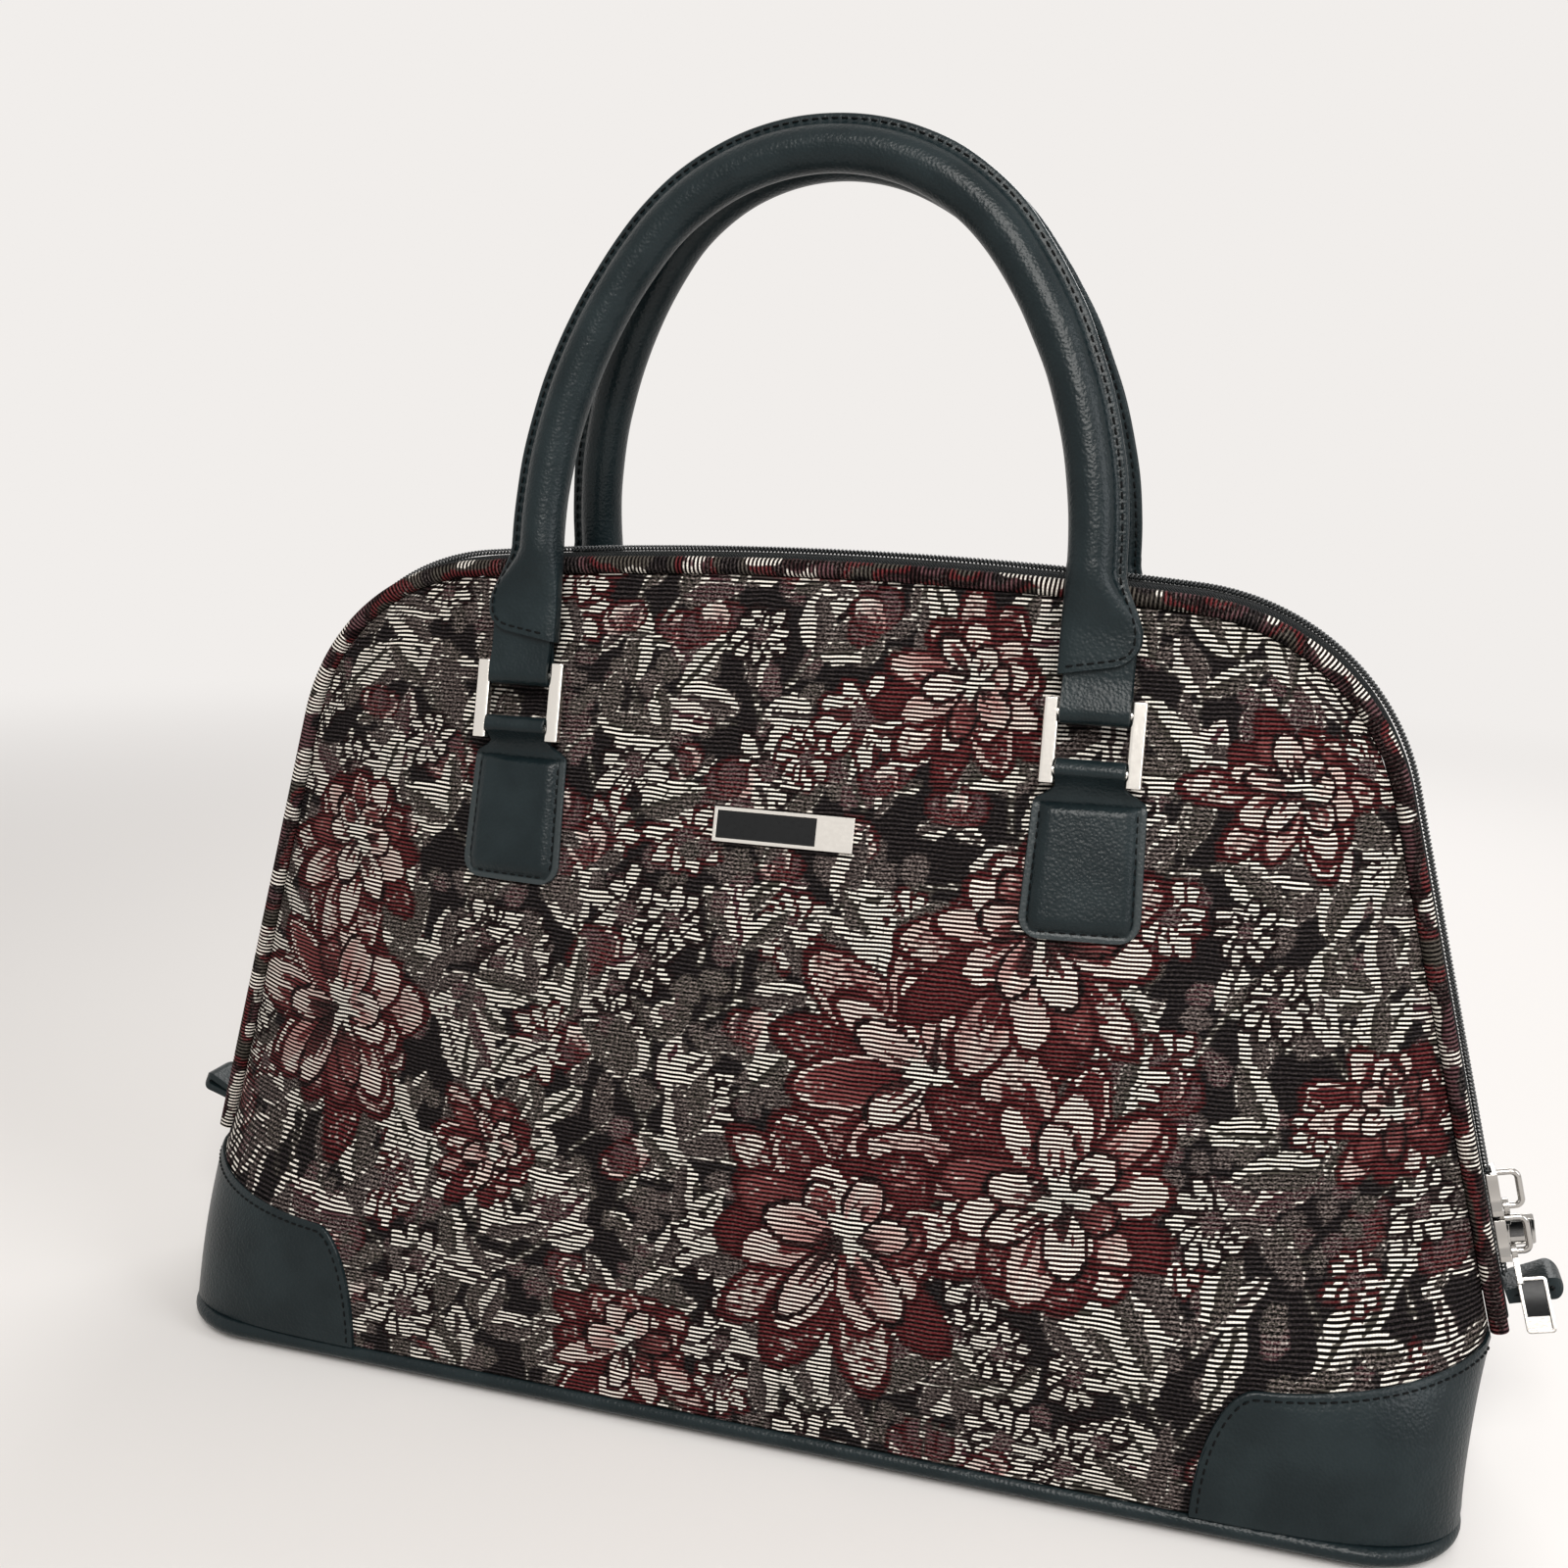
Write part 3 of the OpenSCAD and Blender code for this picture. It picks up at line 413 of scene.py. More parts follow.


# Black twill tape with slanting ribs, and painted shade making it darker in the furrows between them
twill = {"furrowShade": (0.0028, 0.0036, 0.0038, 1), "crest": (0.0095, 0.0115, 0.012, 1),
         "slant": 0.9, "bump": 0.7}


def tapeMaterial(name):
    material, tree, shader = newMaterial(name, Roughness=0.75, Specular_IOR_Level=0.1)
    uv = add(tree, "ShaderNodeUVMap", uv_map="weave").outputs[0]
    part = add(tree, "ShaderNodeSeparateXYZ", {"Vector": uv}).outputs
    slant = calc(tree, "ADD", part["Y"], times(tree, part["X"], twill["slant"]))
    rib = times(tree, calc(tree, "PINGPONG", slant, 0.5), 2.0)
    crest = smooth(tree, rib, 0.2, 0.8)
    # painted shade: the colour runs from the pale crest colour down to the dark furrow colour
    put(tree, shader.inputs["Base Color"], blend(tree, crest, twill["furrowShade"], twill["crest"]))
    put(tree, shader.inputs["Normal"], bumped(tree, crest, twill["bump"]))
    return material


# Plain finishes, nylon, thread, enamel and moulded plastic: fine mottling in colour and gloss
def plainMaterial(name, colour, rough, specular=0.5, scale=700.0):
    material, tree, shader = newMaterial(name, Specular_IOR_Level=specular)
    mottle = clouds(tree, objectPlace(tree), scale, 3.0)
    dark, pale = (tuple(c * k for c in colour) + (1,) for k in (0.75, 1.25))
    put(tree, shader.inputs["Base Color"], blend(tree, mottle, dark, pale))
    put(tree, shader.inputs["Roughness"], calc(tree, "MULTIPLY_ADD", mottle, 0.16, rough - 0.08))
    return material


weaveThreads = weaveGroup()
hideGrain = grainGroup()
tapestry = tapestryMaterial("tapestry")
leather = hideMaterial("leather")
zipTape = tapeMaterial("zipTape")
metal = metalMaterial("metal", (0.80, 0.77, 0.72, 1), 0.2, 0.0005)
# painted shade: chrome is a darker copy of the polished metal, so the sliders and pulls read dark between
# their lamp highlights
chrome = metalMaterial("chrome", (0.40, 0.385, 0.365, 1), 0.14, 0.0006)
coilNylon = plainMaterial("coilNylon", (0.012, 0.014, 0.015), 0.36)
threadBlack = plainMaterial("threadBlack", (0.0022, 0.0026, 0.0028), 0.7, specular=0.1)
cutEdge = plainMaterial("cutEdge", (0.030, 0.034, 0.036), 0.6)
enamel = plainMaterial("enamel", (0.003, 0.0035, 0.004), 0.3, specular=0.25)
footPlastic = plainMaterial("footPlastic", (0.014, 0.016, 0.017), 0.4)
print("stage: materials")

# Floral pattern, painted motif by motif on the panel's points in mm
floral = {
    "ground": (0.0115, 0.0095, 0.0102), "wine": (0.074, 0.0115, 0.013), "rose": (0.135, 0.035, 0.035),
    "leaf": (0.045, 0.040, 0.033), "taupe": (0.050, 0.038, 0.036), "mauve": (0.068, 0.030, 0.034),
    "shadow": (0.014, 0.006, 0.0065), "spacing": 14.8, "grid": 1.36,
    "from": (-296, 4), "to": (296, 324),
}
frontBlossoms = [  # x, z, radius, turn
    (64, 150, 47, 20), (112, 112, 46, -25), (36, 88, 44, 60), (96, 204, 40, 95), (-190, 138, 50, 10),
    (-186, 208, 34, 70), (66, 288, 30, 40), (182, 258, 27, 15), (-108, 98, 20, 0), (222, 148, 24, 30),
    (-46, 34, 27, 80)]
rearBlossoms = [
    (-70, 146, 48, 35), (-112, 104, 45, -15), (-34, 86, 43, 75), (-88, 206, 40, 50), (186, 136, 49, 25),
    (192, 206, 34, 65), (-60, 290, 28, 10), (-180, 258, 27, 30), (96, 96, 22, 0), (14, 230, 26, 45),
    (60, 36, 27, 20)]


# Points inside a motif that starts at cx, cz: a runs 0 to 1 along it and b from side to side
def stamp(canvas, cx, cz, angle, length, width, shape):
    x, z = canvas["x"], canvas["z"]
    reach = length + width
    near = np.flatnonzero((np.abs(x - cx) < reach) & (np.abs(z - cz) < reach))
    dx, dz = x[near] - cx, z[near] - cz
    c, s = math.cos(angle), math.sin(angle)
    a = (dx * c + dz * s) / length
    b = (dz * c - dx * s) / width
    half = shape(np.clip(a, 1e-3, 1 - 1e-3))
    inside = (a > 0) & (a < 1) & (np.abs(b) < half)
    return near[inside], a[inside], (b / half)[inside], (half * width)[inside]


def petalShape(a):
    return 2.28 * a ** 0.7 * (1 - a) ** 0.54


def leafShape(a):
    return 2.6 * a ** 0.62 * (1 - a) ** 0.8


def discShape(a):
    return 2 * np.sqrt(a * (1 - a))


def lay(canvas, index, tone, light, speck, blush=0.0):
    canvas["tone"][index] = tone
    canvas["light"][index] = light
    canvas["speck"][index] = speck
    canvas["blush"][index] = blush


# A petal on its own shadow: streaked face that pales to the tip, dark base, veins, and on some a pale outline
def paintPetal(canvas, cx, cz, angle, length, width, dark, pale, cover, rng, speck=0.1, blush=0.0):
    i, a, b, half = stamp(canvas, cx, cz, angle, length * 1.05 + 1, width + 1.5, petalShape)
    lay(canvas, i, np.array(dark) * 0.6, 0.0, 0.1)
    i, a, b, half = stamp(canvas, cx, cz, angle, length, width, petalShape)
    seed = rng.uniform(0, 99)
    streak = noise2(b * 3.4 + seed, a * 1.5 + seed, 3)
    lit = b * rng.choice([-0.3, 0.3])
    outline = ease((2.1 - (1 - np.abs(b)) * half) / 1.1) * ease((a - 0.14) / 0.2)
    outline = outline * rng.choice([0.0, 0.3, 0.9])
    face = cover * ease((a - 0.06 + lit + 0.8 * (streak - 0.5)) / 0.45)
    veins = ease((np.abs(np.abs(b) - 0.34) - 0.05) / 0.12)
    face = face * mix(veins, 1, ease((a - 0.5) / 0.25))
    tone = mix(np.array(dark), np.array(pale), ease(1.1 * a + 0.6 * (streak - 0.5))[:, None])
    warm = clamp01(blush * (1.25 - a + 1.2 * (streak - 0.5)))
    lay(canvas, i, tone, np.maximum(face, outline), speck, warm)


# A blossom: three tiers of petals round a dark eye with pale stamens
def paintBlossom(canvas, cx, cz, radius, turn, rng):
    wine, rose, shadow = floral["wine"], floral["rose"], floral["shadow"]
    tilt = math.radians(turn)
    tiers = [(11, 1.05, 0.22, wine, wine, 0.45), (9, 0.84, 0.18, wine, rose, 0.8),
             (6, 0.58, 0.15, shadow, rose, 1.0)]
    for count, reach, wide, dark, pale, cover in tiers:
        first = tilt + rng.uniform(0, 1)
        for n in rng.permutation(count):
            angle = first + 2 * math.pi * (n + rng.uniform(-0.22, 0.22)) / count
            length = radius * reach * rng.uniform(0.68, 1.15) * (1 - 0.25 * math.cos(angle - tilt))
            start = radius * 0.07
            width = radius * wide * rng.uniform(0.8, 1.2)
            shown = cover * rng.choice([0.4, 0.8, 1.1, 1.2])
            paintPetal(canvas, cx + start * math.cos(angle), cz + start * math.sin(angle), angle, length,
                       width, dark, pale, shown, rng, speck=0.16, blush=rng.choice([0.1, 0.5, 0.9]))
    eye = stamp(canvas, cx - radius * 0.12, cz, 0, radius * 0.24, radius * 0.12, discShape)[0]
    lay(canvas, eye, np.array(shadow), 0.1, 0.3)
    for _ in range(8):
        angle = rng.uniform(0, 2 * math.pi)
        stamen = stamp(canvas, cx, cz, angle, radius * 0.26, radius * 0.04, leafShape)[0]
        lay(canvas, stamen, np.array(floral["leaf"]), 0.8, 0)


# A leaf with a dark rib: one half lined with pale weft, the other speckled
def paintLeaf(canvas, cx, cz, angle, length, width, rng):
    i, a, b, half = stamp(canvas, cx, cz, angle, length, width, leafShape)
    kind = np.array(floral[rng.choice(["leaf", "taupe", "mauve"], p=[0.5, 0.35, 0.15])])
    style = rng.random()
    side = b * rng.choice([-1, 1])
    if style < 0.6:
        lit = ease((side + 0.35) / 0.5)
    else:
        lit = np.full(len(a), 1.0 if style < 0.84 else 0.12)
    veins = 0.5 + 0.5 * np.sin((a * 6 - np.abs(b) * 1.8) * 2 * math.pi)
    seed = rng.uniform(0, 99)
    light = lit * mix(0.48, 1.0, veins) + 0.4 * (noise2(a * 7 + seed, b * 3 + seed, 5) - 0.5)
    light = np.where((1 - np.abs(b)) * half < 1.2, np.maximum(light, 0.5), light)
    light = np.where((np.abs(b) * half < 0.8) & (a < 0.85), 0.0, light)
    lay(canvas, i, kind * mix(0.62, 1.0, lit)[:, None], light, 0.95 * (1 - lit))


# A small daisy of narrow petals round a speckled eye
def paintAster(canvas, cx, cz, radius, rng):
    first, count = rng.uniform(0, 1), int(rng.integers(8, 12))
    dark = floral["shadow"] if rng.random() < 0.6 else floral["wine"]
    for n in range(count):
        angle = first + 2 * math.pi * (n + rng.uniform(-0.2, 0.2)) / count
        length = radius * rng.uniform(0.8, 1.15)
        paintPetal(canvas, cx, cz, angle, length, radius * 0.2, dark, floral["taupe"], 1.0, rng)
    eye = stamp(canvas, cx - radius * 0.27, cz, 0, radius * 0.54, radius * 0.27, discShape)[0]
    lay(canvas, eye, np.array(floral["mauve"]) * 0.7, 0.2, 1.0)


# A loose clump of dim speckled leaves
def paintSpray(canvas, cx, cz, radius, rng):
    for _ in range(10):
        angle, far = rng.uniform(0, 2 * math.pi), radius * math.sqrt(rng.random())
        i = stamp(canvas, cx + far * math.cos(angle), cz + far * math.sin(angle), angle,
                  radius * 0.75, radius * 0.3, leafShape)[0]
        kind = floral[rng.choice(["mauve", "taupe", "leaf"])]
        lay(canvas, i, np.array(kind) * rng.uniform(0.55, 0.95), 0.3 * rng.random(), 1.0)


# A bud: three petals that open upwards between two leaves
def paintBud(canvas, cx, cz, size, rng):
    way = math.pi / 2 + rng.uniform(-0.9, 0.9)
    for side in (-1.9, 2.0):
        paintLeaf(canvas, cx, cz, way + side, size * 1.1, size * 0.3, rng)
    for side in (-0.75, 0.7, 0):
        length = size * rng.uniform(0.9, 1.2)
        cover = rng.choice([0.0, 0.25, 0.7])
        paintPetal(canvas, cx, cz, way + side, length, size * 0.42, floral["wine"], floral["mauve"],
                   cover, rng, speck=0.55, blush=0.7)


def paintStem(canvas, cx, cz, angle, length):
    i = stamp(canvas, cx, cz, angle, length, 1.1, np.ones_like)[0]
    lay(canvas, i, np.array(floral["leaf"]) * 0.7, 0.45, 0.2)


# Random spots over the cloth, none nearer to another than the spacing
def scatter(rng, spacing, tries):
    spots = np.empty((0, 2))
    for spot in rng.uniform(floral["from"], floral["to"], (tries, 2)):
        if not len(spots) or np.min(np.hypot(*(spots - spot).T)) > spacing:
            spots = np.vstack([spots, spot])
    return spots


# The whole cloth, from the back: sprays, then leaves, asters and buds, then blossoms on their leaves
def paintFloral(x, z, blossoms, seed):
    rng = np.random.default_rng(seed)
    shape = x.shape
    x, z = x.ravel(), z.ravel()
    canvas = {"x": x, "z": z, "tone": np.tile(floral["ground"], (x.size, 1)).astype(float),
              "light": 0.02 + 0.14 * noise2(x / 7, z / 5, 9), "speck": np.full(x.size, 0.1),
              "blush": np.zeros(x.size)}
    for cx, cz in scatter(rng, floral["spacing"] * 2.4, 1000):
        paintSpray(canvas, cx, cz, rng.uniform(10, 17), rng)
    for cx, cz in scatter(rng, floral["spacing"], 3400):
        up = math.pi / 2 + rng.normal(0, 0.8)
        pick = rng.random()
        if pick < 0.55:
            paintStem(canvas, cx, cz, up + math.pi, rng.uniform(10, 22))
            for side in rng.choice([-0.8, -0.35, 0.3, 0.75], int(rng.integers(1, 4)), replace=False):
                paintLeaf(canvas, cx, cz, up + side, rng.uniform(18, 34), rng.uniform(4.2, 7.5), rng)
        elif pick < 0.74:
            paintAster(canvas, cx, cz, rng.uniform(10, 17), rng)
        elif pick < 0.82:
            paintSpray(canvas, cx, cz, rng.uniform(8, 13), rng)
        elif pick < 0.95:
            paintBud(canvas, cx, cz, rng.uniform(10, 15), rng)
    for cx, cz, radius, turn in blossoms:
        for _ in range(6):
            angle = rng.uniform(0, 2 * math.pi)
            far = 0.55 * radius
            paintLeaf(canvas, cx + far * math.cos(angle), cz + far * math.sin(angle), angle,
                      radius * rng.uniform(0.75, 1.0), radius * rng.uniform(0.16, 0.26), rng)
    for cx, cz, radius, turn in blossoms:
        paintBlossom(canvas, cx, cz, radius, turn, rng)
    masks = np.stack([canvas["light"], canvas["speck"], canvas["blush"]], 1)
    return {"tone": canvas["tone"].reshape(*shape, 3), "masks": masks.reshape(*shape, 3)}


# Tapestry panels: the CAD's crowned surface on a fine grid, with a little slack in the cloth
panel = {"slack": 0.5, "slackSize": 46, "firmEdge": 30}


# x, z of the panel's points: rows and columns stretched between the bottom, the two sides and the top
def panelGrid(spacing):
    insetShoulder, insetCrown = bag["shoulderR"] - bag["inset"], bag["crownR"] - bag["inset"]
    mid = (lean + crownAngle) / 2
    low = np.linspace(bag["panelZ"], bag["endZ"], 60)[:-1]
    sideTop = shoulderCentre[1] + insetShoulder * math.sin(lean)
    side = np.linspace(bag["endZ"], sideTop, 60)[:-1]
    z = np.concatenate([low, side])
    a = np.linspace(lean, mid, 60)
    edge = np.concatenate([np.stack([halfWidth(z, bag["inset"]), z], 1),
                           shoulderCentre + insetShoulder * np.stack([np.cos(a), np.sin(a)], 1)])
    edge = evenly(edge, spacing)[0]
    corner = edge[-1]
    b = np.linspace(math.pi / 2, crownAngle, 80)[:-1]
    c = np.linspace(crownAngle, mid, 60)
    top = np.concatenate([crownCentre + insetCrown * np.stack([np.cos(b), np.sin(b)], 1),
                          shoulderCentre + insetShoulder * np.stack([np.cos(c), np.sin(c)], 1)])
    top = evenly(top, spacing * 0.82)[0]
    top = np.concatenate([top[:0:-1] * [-1, 1], top])
    s = np.linspace(-1, 1, len(top))
    t = ((edge[:, 1] - bag["panelZ"]) / (corner[1] - bag["panelZ"]))[:, None]
    x = s * edge[:, :1] + t * (top[:, 0] - s * corner[0])
    z = edge[:, 1:] + t * (top[:, 1] - corner[1])
    return x, z


def panelPiece(name, way, blossoms, seed, node):
    x, z = panelGrid(floral["grid"])
    y = panelDepth(x, z)
    rows, cols = x.shape
    i = np.arange(rows)[:, None]
    j = np.arange(cols)[None]
    border = np.minimum(np.minimum(i, rows - 1 - i), np.minimum(j, cols - 1 - j)) * floral["grid"]
    k = ease(border / panel["firmEdge"])
    size = panel["slackSize"]
    y = y + k * panel["slack"] * (2 * noise2(x / size, z / size + 7, seed) - 1)
    grid = np.stack([x, -y, z], 2)
    # the pattern is laid out along the cloth, so it keeps its scale where the panel turns to the ends
    run = np.cumsum(np.linalg.norm(np.diff(grid, axis=1, prepend=grid[:, :1]), axis=2), axis=1)
    along = run - run[:, cols // 2][:, None]
    placed = []
    for cx, cz, radius, turn in blossoms:
        row = np.argmin(np.abs(z[:, cols // 2] - cz))
        placed.append((np.interp(cx, x[row], along[row]), cz, radius, turn))
    pattern = paintFloral(along, z, placed, seed)
    uv = np.stack([along, z], 2) / weave["pitch"]
    grid[..., 1] *= way
    obj = makePiece(name, grid, gridQuads(rows, cols), tapestry, "bag", "tapestry", uv, pattern)
    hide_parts(node)
    return obj


for name, way, blossoms, seed in (("front", 1, frontBlossoms, 11), ("rear", -1, rearBlossoms, 29)):
    obj = panelPiece(name + "Tapestry", way, blossoms, seed, name + "_panel")
    print("stage:", obj.name, len(obj.data.polygons))

# Dome piping: a cord covered in the same cloth, with its ribs running round it
piping = {"radius": 3.3, "sink": 4.5, "side": 16.5, "sides": 20, "step": 1.3, "patch": 13}


# The way out of the bag, square to a path that runs from right to left over the top
def pathOut(along):
    return np.stack([along[:, 1], -along[:, 0]], 1)


def pipingPiece(name, way, node, seed):
    path, along, s = zipPath(0, piping["step"])
    a = np.linspace(0, 2 * math.pi, piping["sides"] + 1)
    section = piping["radius"] * np.stack([np.cos(a), np.sin(a)], 1) + [-piping["sink"], piping["side"]]
    grid, quads = sweepFlat(path, pathOut(along), section, closed=False)
    run, turn = np.meshgrid(s, a * piping["radius"], indexing="ij")
    pick = noise2(run / piping["patch"], turn / 11, seed)
    fleck = noise2(run / 5, turn / 4, seed + 3)
    names = ("ground", "leaf", "wine", "shadow", "mauve", "ground")
    tones = np.array([floral[n] for n in names])
    tone = tones[np.clip((pick * len(names)).astype(int), 0, len(names) - 1)]
    light = ease((noise2(run / 8, turn / 9 + 5, seed + 1) - 0.52) / 0.25) * mix(0.4, 1.0, fleck)
    pattern = {"tone": tone, "masks": np.stack([light, 0.4 * fleck, 0 * fleck], 2)}
    grid[..., 1] *= way
    uv = np.stack([turn, run], 2) / weave["pitch"]
    obj = makePiece(name, grid, quads, tapestry, "bag", "tapestry", uv, pattern)
    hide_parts(node)


# Zip: roof-like tape on each side and a coil of nylon at the ridge
zipper = {
    "slit": 0.45, "tapeEdge": 0.03, "ridge": 5.9, "half": 13, "rise": 3.5, "bow": 0.92,
    "tapeTop": -0.2, "tapeThick": 1.2, "rib": 1.15,
    "coilStart": 14, "coilPitch": 1.5, "coilHalf": 3, "coilHeight": 2.4, "wire": 0.4,
    "turnSteps": 10, "wireSides": 6,
}


# One side's tape: flat beside the coil, then curving down to the piping
def tapePiece(name, way, node):
    path, along, s = zipPath(0, 2.0)
    top, low = zipper["tapeTop"], zipper["tapeTop"] - zipper["rise"]
    across = np.array([zipper["tapeEdge"], 2.5, 4.5, zipper["ridge"], 7.5, 9.5, 11.5, zipper["half"]])
    fall = clamp01((across - zipper["ridge"]) / (zipper["half"] - zipper["ridge"]))
    height = mix(top, low, ease(fall * zipper["bow"]) / ease(zipper["bow"]))
    upper = np.stack([height, across], 1)
    section = np.concatenate([upper, (upper - [zipper["tapeThick"], 0])[::-1]])
    grid, quads = sweepFlat(path, pathOut(along), section)
    run, over = np.meshgrid(s, section[:, 1], indexing="ij")
    grid[..., 1] *= way
    uv = np.stack([over, run], 2) / zipper["rib"]
    obj = makePiece(name, grid, quads, zipTape, "bag", "zip_tape", uv, sharp=50)
    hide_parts(node)


# A round wire wound in an oval helix along the zip
def coilPiece(name, way, node, phase):
    path, along, s = zipPath(zipper["coilStart"], zipper["coilPitch"] / zipper["turnSteps"])
    out = pathOut(along)
    turn = (s / zipper["coilPitch"] + phase) * 2 * math.pi
    tall = zipper["coilHeight"] / 2 - zipper["wire"]
    wide = (zipper["coilHalf"] - zipper["slit"]) / 2 - zipper["wire"]
    lift = zipper["coilHeight"] / 2 + tall * np.cos(turn)
    front = (zipper["coilHalf"] + zipper["slit"]) / 2 + wide * np.sin(turn)
    xz = path + lift[:, None] * out
    centre = np.stack([xz[:, 0], -front, xz[:, 1]], 1)
    tangent = np.gradient(centre, axis=0)
    tangent /= np.linalg.norm(tangent, axis=1, keepdims=True)
    radial = np.stack([np.cos(turn) * out[:, 0], -np.sin(turn), np.cos(turn) * out[:, 1]], 1)
    radial -= tangent * np.sum(radial * tangent, 1, keepdims=True)
    radial /= np.linalg.norm(radial, axis=1, keepdims=True)
    side = np.cross(tangent, radial)
    a = np.linspace(0, 2 * math.pi, zipper["wireSides"], endpoint=False)
    ring = np.cos(a)[None, :, None] * radial[:, None] + np.sin(a)[None, :, None] * side[:, None]
    grid = centre[:, None] + zipper["wire"] * ring
    grid[..., 1] *= way
    obj = makePiece(name, grid, gridQuads(len(s), len(a), closeCols=True), coilNylon, "bag", "zip_coil")
    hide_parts(node)


for name, way, seed in (("front", 1, 4), ("rear", -1, 8)):
    pipingPiece(name + "Piping", way, name + "_piping", seed)
    tapePiece(name + "Tape", way, name + "_zip_tape")
    coilPiece(name + "Coil", way, name + "_zip_coil", 0.25 if way > 0 else 0.75)
print("stage: zip and piping")

# End wraps: vinyl shells with an ogee upper edge, rolled rim and a row of stitches
wrap = {"startX": 164, "top": 63.7, "gap": 0.3, "thick": 1.5, "corner": 0.2, "shoulder": 0.88, "sweep": 1.6,
        "cols": 90, "rows": 30, "endCols": 24, "seam": 2.6, "press": 0.35, "roll": 0.45}
stitch = {"length": 2.7, "gap": 1.0, "radius": 0.38}


# Directions square to a grid's surface
def gridNormals(grid):
    up = np.gradient(grid, axis=0)
    across = np.gradient(grid, axis=1)
    n = np.cross(across, up)
    return n / np.maximum(np.linalg.norm(n, axis=2, keepdims=True), 1e-9)


# The wrap's upper edge: a quick climb at its front corner, then a slow sweep up to the end
def wrapEdge(v):
    climb = wrap["shoulder"] * np.sqrt(1 - (1 - clamp01(v / wrap["corner"])) ** 2)
    share = mix(climb, 1, clamp01((v - wrap["corner"]) / (1 - wrap["corner"])) ** wrap["sweep"])
    z = mix(bag["panelZ"], wrap["top"], share)
    return mix(wrap["startX"], halfWidth(z, bag["inset"]), v), z


# The panel's own surface below that edge, round the end and back, moved out by the wrap's thickness
def wrapParts():
    v = np.linspace(0, 1, wrap["cols"]) ** 2
    h = np.concatenate([np.linspace(0, 0.97, wrap["rows"]), [0.985, 1.0]])[:, None]
    z = mix(bag["panelZ"], wrapEdge(v)[1][None], h)
    x = mix(wrap["startX"], halfWidth(z, bag["inset"]), v[None])
    front = np.stack([x, -panelDepth(x, z), z], 2)
    w = np.linspace(0, 1, wrap["endCols"] + 2)[1:-1][None, :, None]
    end = mix(front[:, -1:], front[:, -1:] * [1, -1, 1], w)
    grid = np.concatenate([front, end, front[:, ::-1] * [1, -1, 1]], 1)
    n = gridNormals(grid)
    edgeDrop = grid[-1:, :, 2] - grid[..., 2]
    press = wrap["press"] * np.exp(-((edgeDrop - wrap["seam"]) / 0.7) ** 2)
    lift = wrap["gap"] + wrap["thick"] - press
    lift[-1] -= wrap["roll"]
    shell = grid + lift[..., None] * n
    rim = grid[-1:] + wrap["gap"] * n[-1:]
    shell = np.concatenate([shell, rim])
    return shell, gridQuads(*shell.shape[:2])


def wrapStitches():
    v = np.linspace(0.0, 1, 400) ** 2
    x, z = wrapEdge(v)
    t = np.gradient(np.stack([x, z], 1), axis=0)
    t /= np.linalg.norm(t, axis=1, keepdims=True)
    line = np.stack([x, z], 1) + wrap["seam"] * np.stack([t[:, 1], -t[:, 0]], 1)
    line = line[line[:, 1] > bag["panelZ"] + 1]
    line[:, 0] = np.minimum(line[:, 0], halfWidth(line[:, 1], bag["inset"]))
    depth = lambda q: panelDepth(q[:, 0], q[:, 1])
    dx = depth(line + [0.5, 0]) - depth(line - [0.5, 0])
    dz = depth(line + [0, 0.5]) - depth(line - [0, 0.5])
    n = np.stack([-dx, -np.ones(len(line)), -dz], 1)
    n /= np.linalg.norm(n, axis=1, keepdims=True)
    p = np.stack([line[:, 0], -depth(line), line[:, 1]], 1) + (wrap["gap"] + wrap["thick"] - 0.1) * n
    front = stitchLine(p, n, **stitch)
    y = np.linspace(-14, 14, 30)
    endX = halfWidth(np.array(wrap["top"]), bag["inset"]) + wrap["gap"] + wrap["thick"] - 0.2
    end = np.stack([endX + 0 * y, y, wrap["top"] - wrap["seam"] + 0 * y], 1)
    cross = stitchLine(end, np.tile([1.0, 0, -0.1], (len(y), 1)), **stitch)
    return joinParts([front, mirrored(front, y=-1), cross])


for name, way in (("right", 1), ("left", -1)):
    obj = makePiece(name + "Wrap", *mirrored(wrapParts(), x=way), leather, "bag", "leather", sharp=60)
    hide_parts(name + "_end_wrap")
    makePiece(name + "WrapStitches", *mirrored(wrapStitches(), x=way), threadBlack, "bag", "leather")
print("stage: end wraps")


# A strap: thickness put on both sides of a sheet that runs along a path, with round edges and closed ends
def strapSolid(middle, front, back, edge=0.5):
    n = gridNormals(middle)
    out = middle[:, -1] - middle[:, -2]
    out /= np.linalg.norm(out, axis=1, keepdims=True)
    thick = np.minimum(front[:, 0], back[:, 0])[:, None] * edge
    ring = np.concatenate([
        middle + front[..., None] * n, (middle[:, -1] + out * thick)[:, None],
        (middle - back[..., None] * n)[:, ::-1], (middle[:, 0] - out * thick)[:, None]], 1)
    flat = np.concatenate([middle, middle[:, -1:], middle[:, ::-1], middle[:, :1]], 1)
    grid = np.concatenate([flat[:1], ring, flat[-1:]])
    return grid, gridQuads(*grid.shape[:2], closeCols=True)


# Handle hardware places in mm
gear = {"ringX": 110, "ringZ": 261, "barY": -40.7165, "upperZ": 281, "upperY": -36.4473, "lean": 8.06966,
        "barR": 2, "pivot": 0.2, "strapT": 2, "strapHalf": 11.95, "bodyGap": 0.3}
handleLean = math.radians(gear["lean"])
loopMid = gear["barR"] + gear["pivot"] + gear["strapT"] / 2

# Tabs: padded pads sewn on inside a border, with a strap over the ring's lower bar
pad = {"height": 59.5, "width": 42, "taper": 0.93, "corner": 8, "topZ": 248.48, "flare": 7, "puff": 2.1,
       "border": 2.6, "soft": 4.6, "groove": 0.45, "crease": 0.6, "tail": 9, "cols": 52, "rows": 74}
padFoot = gear["ringZ"] - pad["height"]


